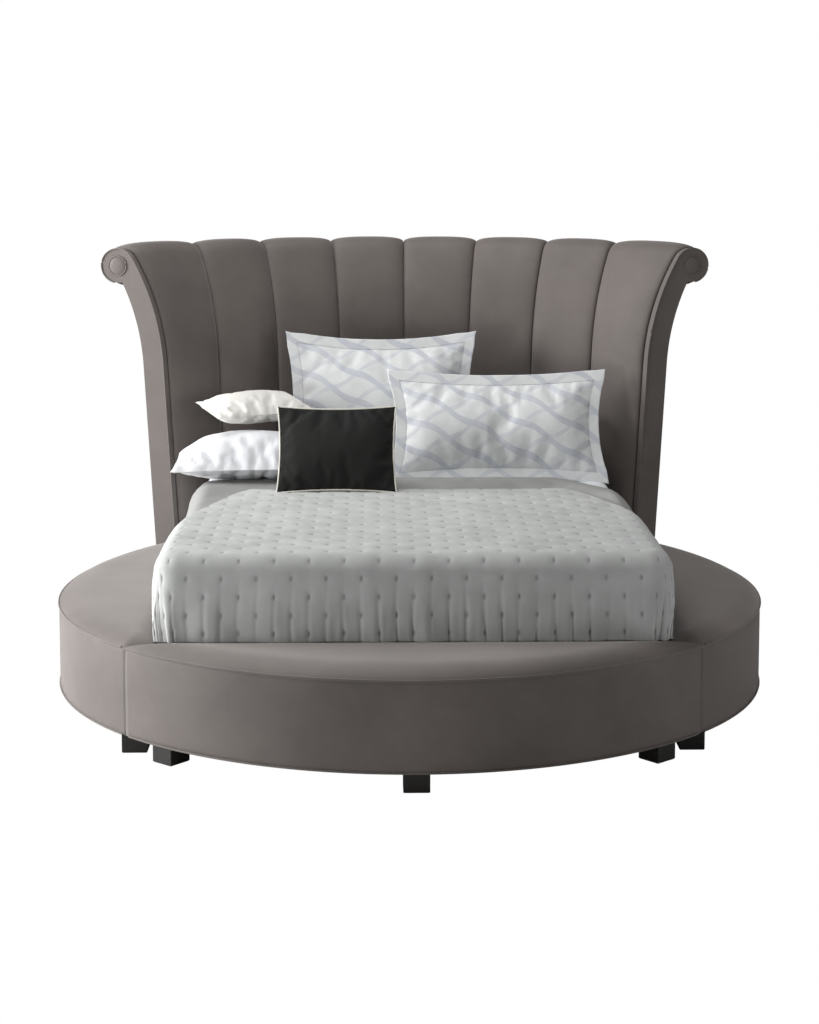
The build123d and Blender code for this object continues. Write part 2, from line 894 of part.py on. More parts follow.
pillow_sizes = {
    "left_lower_pillow": (lower_pillow_width, lower_pillow_height, lower_pillow_thickness, 0),
    "left_upper_pillow": (upper_pillow_width, upper_pillow_height, upper_pillow_thickness, 0),
    "right_pillow": (right_pillow_width, right_pillow_height, right_pillow_thickness, 0),
    "back_sham": (back_sham_width, back_sham_height, back_sham_thickness, flange_width),
    "front_sham": (front_sham_width, front_sham_height, front_sham_thickness, flange_width),
    "accent_cushion": (cushion_width, cushion_height, cushion_thickness, 0),
}
for name, place in pillows.items():
    write(pillow(pillow_plane(*place), *pillow_sizes[name]), name)

# Piping round the accent cushion's middle
cushion_plane = pillow_plane(*pillows["accent_cushion"])
with BuildPart() as cushion_piping:
    with BuildSketch(cushion_plane.offset(-piping_side / 2)):
        RectangleRounded(
            cushion_width + 2 * piping_side + 2 * fit_gap,
            cushion_height + 2 * piping_side + 2 * fit_gap,
            pillow_corner + piping_side,
        )
        RectangleRounded(
            cushion_width + 2 * fit_gap,
            cushion_height + 2 * fit_gap,
            pillow_corner,
            mode=Mode.SUBTRACT,
        )
    extrude(amount=piping_side)
write(cushion_piping.part, "accent_cushion_piping")
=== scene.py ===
"""Round upholstered bed with a channelled, rolled headboard, dressed for a studio picture.

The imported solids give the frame. Each class below builds one sub-assembly: the bench
modules, the headboard, the layers of bedding and the pillows. The pieces that keep their
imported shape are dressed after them, and the studio comes last.
"""

import logging
import math
from dataclasses import dataclass, field
from enum import Enum
from typing import Callable, Sequence

import bpy
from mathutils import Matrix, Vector, noise


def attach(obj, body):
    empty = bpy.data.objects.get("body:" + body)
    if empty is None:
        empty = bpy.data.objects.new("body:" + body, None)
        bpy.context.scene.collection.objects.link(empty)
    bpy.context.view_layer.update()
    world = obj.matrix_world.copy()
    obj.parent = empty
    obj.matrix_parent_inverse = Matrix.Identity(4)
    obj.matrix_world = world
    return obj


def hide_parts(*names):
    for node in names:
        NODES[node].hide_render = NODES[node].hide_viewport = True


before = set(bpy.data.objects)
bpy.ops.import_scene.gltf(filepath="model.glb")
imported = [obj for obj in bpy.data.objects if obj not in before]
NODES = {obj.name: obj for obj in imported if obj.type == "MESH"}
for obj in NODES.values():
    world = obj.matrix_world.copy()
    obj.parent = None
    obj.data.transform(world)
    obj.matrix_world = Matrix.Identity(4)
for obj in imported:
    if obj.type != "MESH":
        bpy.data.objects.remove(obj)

logging.basicConfig(level=logging.INFO, format="%(name)s: %(message)s")
log = logging.getLogger("round_bed")

Point = tuple[float, float, float]
Colour = tuple[float, float, float]
BODY = "root"


# Small helpers


def ease(x: float) -> float:
    """Ease a value between nought and one.

    Args:
        x: value, clamped to the range nought to one.

    Returns:
        The eased value.
    """
    x = min(max(x, 0.0), 1.0)
    return x * x * (3 - 2 * x)


def ripple(x: float, y: float, z: float, scale: float) -> float:
    """Smooth noise at a place.

    Args:
        x: first coordinate.
        y: second coordinate.
        z: third coordinate.
        scale: features per metre.

    Returns:
        A value from about minus one to one.
    """
    return noise.noise(Vector((x * scale, y * scale, z * scale)))


def grid_object(
    name: str,
    rows: Sequence[Sequence[Point]],
    loop_rows: bool = False,
    loop_columns: bool = False,
) -> bpy.types.Object:
    """Make a smooth mesh object from a grid of points.

    Args:
        name: the object's name.
        rows: equal rows of points.
        loop_rows: join the last row to the first.
        loop_columns: join the last column to the first.

    Returns:
        The new object, linked to the scene.
    """
    height, width = len(rows), len(rows[0])
    vertices = [p for row in rows for p in row]
    faces = []
    for i in range(height if loop_rows else height - 1):
        for j in range(width if loop_columns else width - 1):
            a, b = i * width + j, i * width + (j + 1) % width
            c, d = ((i + 1) % height) * width + (j + 1) % width, ((i + 1) % height) * width + j
            faces.append((a, b, c, d))
    mesh = bpy.data.meshes.new(name)
    mesh.from_pydata(vertices, [], faces)
    mesh.validate()
    mesh.shade_smooth()
    made = bpy.data.objects.new(name, mesh)
    bpy.context.scene.collection.objects.link(made)
    return made


def tube_object(
    name: str, path: Sequence[Point], radius: float, closed: bool = False, sides: int = 10
) -> bpy.types.Object:
    """Make a round cord along a path.

    Args:
        name: the object's name.
        path: points of the cord's middle.
        radius: the cord's radius.
        closed: join the end to the start.
        sides: points round the section.

    Returns:
        The new object.
    """
    points = [Vector(p) for p in path]
    rings = []
    count = len(points)
    for i, here in enumerate(points):
        before = points[i - 1] if i or closed else here
        after = points[(i + 1) % count] if i < count - 1 or closed else here
        along = (after - before).normalized()
        side = along.cross(Vector((0, 0, 1)))
        if side.length < 0.2:
            side = along.cross(Vector((1, 0, 0)))
        side.normalize()
        up = side.cross(along).normalized()
        ring = []
        for k in range(sides):
            turn = 2 * math.pi * k / sides
            ring.append(tuple(here + side * radius * math.cos(turn) + up * radius * math.sin(turn)))
        rings.append(ring)
    return grid_object(name, rings, loop_rows=closed, loop_columns=True)


def join_objects(name: str, parts: Sequence[bpy.types.Object]) -> bpy.types.Object:
    """Join several objects into one.

    Args:
        name: the joined object's name.
        parts: the objects to join; they are used up.

    Returns:
        The joined object.
    """
    vertices: list[Point] = []
    faces: list[tuple[int, ...]] = []
    for part in parts:
        start = len(vertices)
        vertices += [tuple(part.matrix_world @ v.co) for v in part.data.vertices]
        faces += [tuple(start + i for i in p.vertices) for p in part.data.polygons]
        bpy.data.objects.remove(part)
    mesh = bpy.data.meshes.new(name)
    mesh.from_pydata(vertices, [], faces)
    mesh.shade_smooth()
    made = bpy.data.objects.new(name, mesh)
    bpy.context.scene.collection.objects.link(made)
    return made


def thicken(piece: bpy.types.Object, thickness: float) -> None:
    """Give an open face its thickness, inwards, so that its outside stays where it is.

    Args:
        piece: the face.
        thickness: thickness in metres.
    """
    solid = piece.modifiers.new("thickness", "SOLIDIFY")
    solid.thickness = thickness
    solid.offset = -1


def settle(piece: bpy.types.Object, material: bpy.types.Material, slot: str, *nodes: str) -> None:
    """Finish a piece: its material, its body and the nodes it stands for.

    Args:
        piece: the finished object.
        material: the material it is given.
        slot: the record's material slot; not used.
        nodes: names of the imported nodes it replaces.
    """
    piece.data.materials.clear()
    piece.data.materials.append(material)
    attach(piece, BODY)
    if nodes:
        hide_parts(*nodes)
    log.info("made %s, %d vertices", piece.name, len(piece.data.vertices))


# Finishes


@dataclass(frozen=True)
class Finish:
    """A procedural finish: a base colour that varies, and a surface that varies with it.

    Attributes:
        name: the material's name.
        low: darker colour.
        high: lighter colour.
        rough: roughness, lowest and highest.
        sheen: strength of the sheen.
        scale: cloudiness, features per metre.
        weave: fineness of the surface's relief, features per metre.
        bump: strength of the surface's relief.
        sheen_rough: roughness of the sheen.
        relief: depth of the surface's relief in metres.
    """

    name: str
    low: Colour
    high: Colour
    rough: tuple[float, float] = (0.8, 0.95)
    sheen: float = 0.0
    scale: float = 6.0
    weave: float = 180.0
    bump: float = 0.15
    sheen_rough: float = 0.35
    relief: float = 0.002

    def build(self) -> bpy.types.Material:
        """Build the material.

        Returns:
            A new node material.
        """
        material = bpy.data.materials.new(self.name)
        material.use_nodes = True
        nodes, links = material.node_tree.nodes, material.node_tree.links
        shader = nodes["Principled BSDF"]
        place = nodes.new("ShaderNodeTexCoord")
        place.name = "place"
        cloud = nodes.new("ShaderNodeTexNoise")
        cloud.name = "cloud"
        cloud.inputs["Scale"].default_value = self.scale
        cloud.inputs["Detail"].default_value = 6
        links.new(place.outputs["Object"], cloud.inputs["Vector"])
        ramp = nodes.new("ShaderNodeValToRGB")
        ramp.name = "colours"
        ramp.color_ramp.elements[0].position = 0.3
        ramp.color_ramp.elements[1].position = 0.7
        ramp.color_ramp.elements[0].color = (*self.low, 1)
        ramp.color_ramp.elements[1].color = (*self.high, 1)
        links.new(cloud.outputs["Fac"], ramp.inputs["Fac"])
        links.new(ramp.outputs["Color"], shader.inputs["Base Color"])
        spread = nodes.new("ShaderNodeMapRange")
        spread.inputs["To Min"].default_value = self.rough[0]
        spread.inputs["To Max"].default_value = self.rough[1]
        links.new(cloud.outputs["Fac"], spread.inputs["Value"])
        links.new(spread.outputs["Result"], shader.inputs["Roughness"])
        shader.inputs["Sheen Weight"].default_value = self.sheen
        shader.inputs["Sheen Roughness"].default_value = self.sheen_rough
        fine = nodes.new("ShaderNodeTexNoise")
        fine.inputs["Scale"].default_value = self.weave
        fine.inputs["Detail"].default_value = 2
        links.new(place.outputs["Object"], fine.inputs["Vector"])
        relief = nodes.new("ShaderNodeBump")
        relief.inputs["Strength"].default_value = self.bump
        relief.inputs["Distance"].default_value = self.relief
        links.new(fine.outputs["Fac"], relief.inputs["Height"])
        links.new(relief.outputs["Normal"], shader.inputs["Normal"])
        return material

    def shade_by(self, material: bpy.types.Material, share: bpy.types.NodeSocket) -> None:
        """Make the colour lighter or darker from place to place.

        Args:
            material: the finish's material.
            share: what the colour is multiplied by.
        """
        nodes, links = material.node_tree.nodes, material.node_tree.links
        shade = nodes.new("ShaderNodeVectorMath")
        shade.operation = "SCALE"
        links.new(nodes["colours"].outputs["Color"], shade.inputs[0])
        links.new(share, shade.inputs["Scale"])
        links.new(shade.outputs["Vector"], nodes["Principled BSDF"].inputs["Base Color"])


@dataclass(frozen=True)
class Velvet(Finish):
    """Cut pile that is dark face on and pale at a glancing angle, with brushed patches.

    Attributes:
        patches: brushed patches per metre.
        contrast: how much lighter and darker the patches are.
        sheen_colour: colour of the pale pile.
    """

    sheen_rough: float = 0.42
    patches: float = 11.0
    contrast: float = 0.05
    sheen_colour: Colour = (1.0, 0.95, 0.92)

    def build(self) -> bpy.types.Material:
        """Build the material.

        Returns:
            A new node material.
        """
        material = super().build()
        nodes, links = material.node_tree.nodes, material.node_tree.links
        nodes["Principled BSDF"].inputs["Sheen Tint"].default_value = (*self.sheen_colour, 1)
        brushed = nodes.new("ShaderNodeTexNoise")
        brushed.inputs["Scale"].default_value = self.patches
        brushed.inputs["Detail"].default_value = 7
        brushed.inputs["Distortion"].default_value = 0.7
        links.new(nodes["place"].outputs["Object"], brushed.inputs["Vector"])
        patch = nodes.new("ShaderNodeMapRange")
        patch.inputs["From Min"].default_value = 0.3
        patch.inputs["From Max"].default_value = 0.7
        patch.inputs["To Min"].default_value = 1 - self.contrast
        patch.inputs["To Max"].default_value = 1 + self.contrast
        links.new(brushed.outputs["Fac"], patch.inputs["Value"])
        self.shade_by(material, patch.outputs["Result"])
        return material


@dataclass(frozen=True)
class Stitched(Finish):
    """Quilted cloth with painted shade in the dents where a stitch draws it in.

    The cloth's mesh says where the stitches are, in a value named stitch.

    Attributes:
        shade: share of the cloth's colour that the painted shade leaves in a stitch.
    """

    shade: float = 0.5

    def build(self) -> bpy.types.Material:
        """Build the material.

        Returns:
            A new node material.
        """
        material = super().build()
        nodes, links = material.node_tree.nodes, material.node_tree.links
        # Painted shade: the colour is darkened where the stitch value is high, in the stitch dents.
        stitch = nodes.new("ShaderNodeAttribute")
        stitch.attribute_name = "stitch"
        shade = nodes.new("ShaderNodeMapRange")
        shade.inputs["To Min"].default_value = 1.0
        shade.inputs["To Max"].default_value = self.shade
        links.new(stitch.outputs["Fac"], shade.inputs["Value"])
        self.shade_by(material, shade.outputs["Result"])
        return material


@dataclass(frozen=True)
class Timber(Finish):
    """Wood with a grain that runs along the bed's width.

    Attributes:
        grain: how close the grain's features lie along and across it.
    """

    grain: Point = (0.25, 4, 4)

    def build(self) -> bpy.types.Material:
        """Build the material.

        Returns:
            A new node material.
        """
        material = super().build()
        nodes, links = material.node_tree.nodes, material.node_tree.links
        stretch = nodes.new("ShaderNodeMapping")
        stretch.inputs["Scale"].default_value = self.grain
        links.new(nodes["place"].outputs["Object"], stretch.inputs["Vector"])
        links.new(stretch.outputs["Vector"], nodes["cloud"].inputs["Vector"])
        return material


@dataclass(frozen=True)
class Steel(Finish):
    """Bright zinc-plated steel."""

    def build(self) -> bpy.types.Material:
        """Build the material.

        Returns:
            A new node material.
        """
        material = super().build()
        material.node_tree.nodes["Principled BSDF"].inputs["Metallic"].default_value = 1.0
        return material


@dataclass(frozen=True)
class Lattice(Finish):
    """White cotton printed with grey ribbons in a diagonal lattice over soft clouds.

    Attributes:
        ribbon: colour of the ribbons.
        cell: width and height of one diamond.
        bow: how far a ribbon bends off its diagonal, as a share of the diamond.
        widths: widths of the ribbons that rise and fall, as shares of the diamond.
        strengths: how strongly each of them is printed.
        clouds: clouds in the print, features per metre.
        ground: share of the print's strength that the clouds leave everywhere.
    """

    ribbon: Colour = (0.5, 0.52, 0.57)
    cell: tuple[float, float] = (0.24, 0.14)
    bow: float = 0.09
    widths: tuple[float, float] = (0.24, 0.17)
    strengths: tuple[float, float] = (0.9, 0.55)
    clouds: float = 22.0
    ground: float = 0.35

    def build(self) -> bpy.types.Material:
        """Build the material from the piece's flat cloth coordinates.

        Returns:
            A new node material.
        """
        material = super().build()
        nodes, links = material.node_tree.nodes, material.node_tree.links
        cloth = nodes.new("ShaderNodeUVMap")
        cloth.uv_map = "cloth"
        split = nodes.new("ShaderNodeSeparateXYZ")
        links.new(cloth.outputs["UV"], split.inputs["Vector"])

        def maths(kind: str, first: object, second: object) -> bpy.types.NodeSocket:
            """Add one arithmetic node.

            Args:
                kind: the operation.
                first: a socket or a number.
                second: a socket or a number.

            Returns:
                The node's output.
            """
            node = nodes.new("ShaderNodeMath")
            node.operation = kind
            for socket, value in zip(node.inputs, (first, second)):
                if isinstance(value, bpy.types.NodeSocket):
                    links.new(value, socket)
                else:
                    socket.default_value = value
            return node.outputs[0]

        across = maths("DIVIDE", split.outputs["X"], self.cell[0])
        up = maths("DIVIDE", split.outputs["Y"], self.cell[1])
        # The straight diagonals are bowed by a sine, once in each diamond
        swing = maths("SINE", maths("MULTIPLY", across, math.pi * 2), 0.0)
        bow = maths("MULTIPLY", swing, self.bow)
        one = maths("ADD", maths("ADD", across, up), bow)
        two = maths("SUBTRACT", maths("SUBTRACT", across, up), bow)
        ribbons = []
        for line, width, strength in zip((one, two), self.widths, self.strengths):
            away = maths("ABSOLUTE", maths("SUBTRACT", maths("FRACT", line, 0.0), 0.5), 0.0)
            ribbons.append(maths("MULTIPLY", maths("LESS_THAN", away, width / 2), strength))
        both = maths("MAXIMUM", *ribbons)
        wash = nodes.new("ShaderNodeTexNoise")
        wash.inputs["Scale"].default_value = self.clouds
        wash.inputs["Detail"].default_value = 5
        links.new(cloth.outputs["UV"], wash.inputs["Vector"])
        strength = maths("MULTIPLY", both, maths("ADD", wash.outputs["Fac"], self.ground))
        paint = nodes.new("ShaderNodeMix")
        paint.data_type = "RGBA"
        links.new(strength, paint.inputs["Factor"])
        links.new(nodes["colours"].outputs["Color"], paint.inputs["A"])
        paint.inputs["B"].default_value = (*self.ribbon, 1)
        links.new(paint.outputs["Result"], nodes["Principled BSDF"].inputs["Base Color"])
        return material


class Look(Enum):
    """Finishes of the bed."""

    VELVET = Velvet(
        "velvet", (0.092, 0.078, 0.071), (0.135, 0.115, 0.105), (0.62, 0.7), sheen=0.35, scale=2.2
    )
    QUILT = Stitched("quilted_cotton", (0.43, 0.44, 0.43), (0.5, 0.51, 0.5), weave=420, scale=8)
    BLANKET = Finish("coverlet", (0.25, 0.25, 0.243), (0.3, 0.3, 0.292), weave=420, scale=8)
    SHEET = Finish("sheet_cotton", (0.62, 0.65, 0.67), (0.68, 0.71, 0.73), weave=600, scale=8)
    COTTON = Finish("white_cotton", (0.66, 0.67, 0.69), (0.72, 0.73, 0.75), weave=500, scale=8)
    SATIN = Finish(
        "satin_cotton", (0.74, 0.72, 0.68), (0.82, 0.8, 0.76), rough=(0.35, 0.5), weave=600, bump=0.05
    )
    PRINT = Lattice("printed_cotton", (0.64, 0.65, 0.65), (0.73, 0.74, 0.74), weave=500, scale=14)
    DARK_VELVET = Finish(
        "dark_velvet", (0.003, 0.004, 0.003), (0.006, 0.007, 0.005), (0.9, 1.0), sheen=0.02
    )
    CORD = Finish("cream_cord", (0.62, 0.6, 0.53), (0.72, 0.7, 0.63), weave=900)
    TICKING = Finish("ticking", (0.7, 0.7, 0.67), (0.8, 0.8, 0.77), weave=400)
    DARK_WOOD = Timber("dark_wood", (0.006, 0.005, 0.004), (0.014, 0.012, 0.01), rough=(0.4, 0.55))
    PLYWOOD = Timber("plywood", (0.4, 0.27, 0.15), (0.55, 0.4, 0.24), rough=(0.55, 0.7))
    PINE = Timber("pine", (0.55, 0.37, 0.19), (0.68, 0.49, 0.28), rough=(0.5, 0.65))
    STEEL = Steel("steel", (0.5, 0.5, 0.5), (0.62, 0.62, 0.62), rough=(0.3, 0.42))


MATERIALS: dict[Look, bpy.types.Material] = {}


def look(kind: Look) -> bpy.types.Material:
    """Material of a finish, built once.

    Args:
        kind: which finish.

    Returns:
        The material.
    """
    if kind not in MATERIALS:
        MATERIALS[kind] = kind.value.build()
    return MATERIALS[kind]


# Bench modules


class Side(Enum):
    """Where a bench module lies in the ring."""

    FRONT = "front"
    REAR = "rear"
    LEFT = "left"
    RIGHT = "right"


@dataclass
class BenchModule:
    """One upholstered module of the round platform.

    Attributes:
        side: which module this is.
        radius: radius of the platform.
        well_x: half the width of the well.
        well_y: half the length of the well.
        seam: height of the top seam.
        bottom: height of the bottom edge.
        crown: how far the pad rises above the seam.
        swell: how far from an edge the crown goes on rising.
        dome: how full the crown's section is, near its edge and on top.
        unevenness: how far the top's stuffing lies off its smooth form.
        play: room between a side module and its neighbours.
        skirt: how far the top's cloth goes down under the seam.
        cord: radius of the piping.
        cord_out: how far the piping's middle stands out, as a share of its radius.
        columns: mesh steps along the module.
        lines: mesh steps across it.
        chord_steps: mesh steps along the chord of its outline.
        name: the module's name, after its side.
    """

    side: Side
    radius: float = 1.52
    well_x: float = 0.985
    well_y: float = 1.0203
    seam: float = 0.432
    bottom: float = 0.08
    crown: float = 0.042
    swell: float = 0.14
    dome: tuple[float, float] = (2.4, 0.85)
    unevenness: float = 0.0012
    play: float = 0.0006
    skirt: float = 0.01
    cord: float = 0.0035
    cord_out: float = 0.4
    columns: int = 120
    lines: int = 26
    chord_steps: int = 60
    name: str = field(init=False)

    def __post_init__(self) -> None:
        """Name the module after its side."""
        self.name = f"{self.side.value}_bench"

    def turned(self, x: float, y: float) -> tuple[float, float]:
        """Turn a plan point of the front or right module to this module's place.

        Args:
            x: distance along the chord.
            y: distance out from the centre.

        Returns:
            Plan coordinates of the bed.
        """
        if self.side is Side.FRONT:
            return x, -y
        if self.side is Side.REAR:
            return -x, y
        return (y, x) if self.side is Side.RIGHT else (-y, -x)

    def limits(self) -> tuple[float, float]:
        """Chord distance and half length of this module.

        Returns:
            Distance of the chord from the centre, and half the module's length.
        """
        if self.side in (Side.FRONT, Side.REAR):
            return self.well_y, math.sqrt(self.radius**2 - self.well_y**2)
        return self.well_x, self.well_y - self.play

    def column(self, share: float) -> tuple[float, float, float]:
        """Place along the module: chord coordinate, and the chord's and rim's distances.

        Args:
            share: from nought to one along the module.

        Returns:
            Coordinate along the chord, distance of the chord, distance of the rim.
        """
        chord, half = self.limits()
        top = math.asin(half / self.radius)
        angle = -top + 2 * top * share
        x = self.radius * math.sin(angle)
        return x, chord, max(self.radius * math.cos(angle), chord)

    def rise(self, x: float, y: float) -> float:
        """Height of the pad above the seam at a plan place.

        Args:
            x: coordinate along the chord.
            y: distance out from the centre.

        Returns:
            Height above the seam.
        """
        chord, half = self.limits()
        gap = min(self.radius - math.hypot(x, y), y - chord)
        if self.side in (Side.LEFT, Side.RIGHT):
            gap = min(gap, half - abs(x))
        share = min(max(gap / self.swell, 0.0), 1.0)
        dome = (1 - (1 - share) ** self.dome[0]) ** self.dome[1]
        return self.crown * dome + self.unevenness * ripple(x, y, 0.3, 5) * share

    def build(self) -> None:
        """Build the pad, the upholstered side and the piping of this module."""
        rows = []
        for i in range(self.lines + 1):
            share = 0.5 - 0.5 * math.cos(math.pi * i / self.lines)
            row = []
            for j in range(self.columns + 1):
                x, inner, outer = self.column(j / self.columns)
                y = outer + (inner - outer) * share
                row.append((*self.turned(x, y), self.seam + self.rise(x, y)))
            rows.append(row)
        pad = grid_object(f"{self.name}_top", rows)
        base = self.seam - self.skirt
        edges = [rows[0], rows[-1], [row[0] for row in rows], [row[-1] for row in rows]]
        skirts = [grid_object("skirt", [edge, [(*p[:2], base) for p in edge]]) for edge in edges]
        under = [[(*p[:2], base) for p in edge] for edge in edges[:2]]
        skirts.append(grid_object("underside", under))
        pad = join_objects(f"{self.name}_top", [pad, *skirts])
        settle(pad, look(Look.VELVET), "velvet", f"{self.name}_pad")
        self.build_side()
        self.build_piping()

    def outline(self, inset: float) -> list[tuple[float, float]]:
        """Plan outline of the module, all round.

        Args:
            inset: how far in from the edge.

        Returns:
            Plan points, rim first and then back along the chord.
        """
        chord, half = self.limits()
        radius = self.radius - inset
        reach = min(half - inset, math.sqrt(radius**2 - (chord + inset) ** 2))
        top = math.asin(reach / radius)
        rim = [-top + 2 * top * k / self.columns for k in range(self.columns + 1)]
        points = [(radius * math.sin(a), radius * math.cos(a)) for a in rim]
        steps = self.chord_steps
        points += [(reach - 2 * reach * k / steps, chord + inset) for k in range(steps + 1)]
        return [self.turned(*p) for p in points]

    def build_side(self) -> None:
        """Build the upholstered side, drawn in at both edges, with a turned-under hem."""
        profile = [(0.03, 0.0), (0.006, -0.0005), (0.001, 0.002), (0.0002, 0.02)]
        profile += [(0.0, 0.05), (0.0, 0.3), (0.0004, 0.335), (0.002, 0.349), (0.012, 0.3515)]
        rows = []
        for inset, height in profile:
            rows.append([(*p, self.bottom + height) for p in self.outline(inset)])
        side = grid_object(f"{self.name}_side", rows, loop_columns=True)
        settle(side, look(Look.VELVET), "velvet", f"{self.name}_boxing")

    def build_piping(self) -> None:
        """Build the piping along the rim, at the seam and at the bottom edge."""
        if self.side is Side.REAR:
            return
        rim = self.outline(0.0)[: self.columns + 1]
        scale = (self.radius + self.cord * self.cord_out) / self.radius
        cords = []
        for height in (self.seam, self.bottom + self.cord):
            path = [(x * scale, y * scale, height) for x, y in rim[1:-1]]
            cords.append(tube_object("cord", path, self.cord))
        piping = join_objects(f"{self.name}_piping_cord", cords)
        settle(piping, look(Look.VELVET), "velvet", f"{self.name}_piping")


# Headboard


@dataclass
class Headboard:
    """Curved headboard of upright channels that roll over backwards at the top.

    Attributes:
        radius: radius of the frame's front face at the bottom.
        half_angle: half the angle the arc takes up.
        channels: how many channels.
        turn: angle between the radius and the end planes.
        lean: lean of the lower part.
        height: height of the leaning part above the seam.
        neck_radius: radius of the neck's arc.
        neck_angle: angle of the neck where the roll starts.
        roll: radius of the roll's core.
        seam: height of the platform's seam.
        start: height where the channels start.
        thin: padding at a seam between two channels.
        thick: padding in the middle of a channel.
        bevel: how flat the middle of a channel is.
        backing: thickness of a channel's cloth and backing.
        pinch: share of the padding that is lost at a channel's lower end.
        pinch_end: share of the section's length where the full padding is reached.
        unevenness: how far the stuffing lies off its smooth form.
        lean_end: share of the section's length where the neck starts.
        neck_end: share of the section's length where the roll starts.
        roll_sweep: angle that the padding covers round the roll.
        end_thickness: thickness of an end panel.
        end_offset: how far in front of the frame's face an end's piping lies.
        cord: radius of the piping.
        cord_out: how far the ends' piping stands out from the end plane.
        scroll_sides: mesh steps round a scroll.
        rows: mesh steps along the section.
        columns: mesh steps across a channel.
        steps: mesh steps along an end's piping.
    """

    radius: float = 1.521
    half_angle: float = math.radians(49.3)
    channels: int = 8
    turn: float = math.radians(21)
    lean: float = math.radians(3.3)
    height: float = 0.885
    neck_radius: float = 1.126
    neck_angle: float = math.radians(30)
    roll: float = 0.052
    seam: float = 0.432
    start: float = 0.4675
    thin: float = 0.026
    thick: float = 0.058
    bevel: float = 2.6
    backing: float = 0.02
    pinch: float = 0.2
    pinch_end: float = 0.02
    unevenness: float = 0.0015
    lean_end: float = 0.5
    neck_end: float = 0.72
    roll_sweep: float = math.radians(228)
    end_thickness: float = 0.024
    end_offset: float = 0.0305
    cord: float = 0.0035
    cord_out: float = 0.001
    scroll_sides: int = 40
    rows: int = 84
    columns: int = 22
    steps: int = 160

    def __post_init__(self) -> None:
        """Work out the centres of the neck and the roll."""
        self.top = (self.radius + self.height * math.tan(self.lean), self.seam + self.height)
        self.neck = (
            self.top[0] + self.neck_radius * math.cos(self.lean),
            self.top[1] - self.neck_radius * math.sin(self.lean),
        )
        reach = self.neck_radius - self.roll
        self.roll_centre = (
            self.neck[0] - reach * math.cos(self.neck_angle),
            self.neck[1] + reach * math.sin(self.neck_angle),
        )

    def station(self, share: float, offset: float) -> tuple[float, float]:
        """Point of the section at a share of its length, moved forwards by an offset.

        Args:
            share: from nought at the bottom to one under the roll.
            offset: distance from the frame's face.

        Returns:
            Radius and height.
        """
        if share < self.lean_end:
            z = self.start + (self.top[1] - self.start) * share / self.lean_end
            r = self.radius + (z - self.seam) * math.tan(self.lean)
            return r - offset * math.cos(self.lean), z + offset * math.sin(self.lean)
        if share < self.neck_end:
            part = (share - self.lean_end) / (self.neck_end - self.lean_end)
            angle = self.lean + (self.neck_angle - self.lean) * part
            reach = self.neck_radius + offset
            return self.neck[0] - reach * math.cos(angle), self.neck[1] + reach * math.sin(angle)
        part = (share - self.neck_end) / (1 - self.neck_end)
        angle = math.pi - self.neck_angle - part * self.roll_sweep
        reach = self.roll + offset
        return (
            self.roll_centre[0] + reach * math.cos(angle),
            self.roll_centre[1] + reach * math.sin(angle),
        )

    def end_angle(self, radius: float, inset: float) -> float:
        """Angle at which an end plane cuts a circle about the centre.

        Args:
            radius: radius of the circle.
            inset: how far inside the end plane.

        Returns:
            The angle from the middle of the headboard.
        """
        away = self.half_angle + self.turn
        corner = (self.radius * math.sin(self.half_angle), self.radius * math.cos(self.half_angle))
        normal = (math.cos(away), -math.sin(away))
        level = corner[0] * normal[0] + corner[1] * normal[1] - inset
        # sin(a) cos(away) - cos(a) sin(away) = level / radius
        return away + math.asin(max(-1.0, min(1.0, level / radius)))

    def padding(self, across: float) -> float:
        """Thickness of the padding at a share of a channel's width.

        Args:
            across: from nought to one across the channel.

        Returns:
            Thickness.
        """
        swing = abs(2 * across - 1)
        return self.thin + (self.thick - self.thin) * (1 - swing**self.bevel) ** (1 / self.bevel)

    def channel(self, index: int) -> bpy.types.Object:
        """Build one channel pad.

        Args:
            index: from nought at the left end.

        Returns:
            The pad's object.
        """
        step = 2 * self.half_angle / self.channels
        low = -self.half_angle + index * step
        rows = []
        for i in range(self.rows + 1):
            share = i / self.rows
            row = []
            middle = self.station(share, self.thick * 0.6)[0]
            first, last = low, low + step
            if index == 0:
                first = -self.end_angle(middle, self.end_thickness)
            if index == self.channels - 1:
                last = self.end_angle(middle, self.end_thickness)
            for j in range(self.columns + 1):
                across = 0.5 - 0.5 * math.cos(math.pi * j / self.columns)
                angle = first + (last - first) * across
                depth = self.padding(across)
                if share < self.pinch_end:
                    depth *= 1 - self.pinch + self.pinch * share / self.pinch_end
                cloud = ripple(angle * 1.7, share * 2.2, index, 2.5)
                depth += self.unevenness * cloud * math.sin(math.pi * across)
                r, z = self.station(share, depth)
                row.append((r * math.sin(angle), r * math.cos(angle), z))
            rows.append(row)
        pad = grid_object(f"headboard_channel_pad_{index + 1}", rows)
        thicken(pad, self.backing)
        return pad

    def end_edge(self) -> list[Point]:
        """Where the piping of the right end lies.

        Returns:
            Points along the edge from the bottom to under the roll.
        """
        points = []
        for i in range(self.steps + 1):
            r, z = self.station(i / self.steps, self.end_offset)
            angle = self.end_angle(r, -self.cord_out)
            points.append((r * math.sin(angle), r * math.cos(angle), z))
        return points

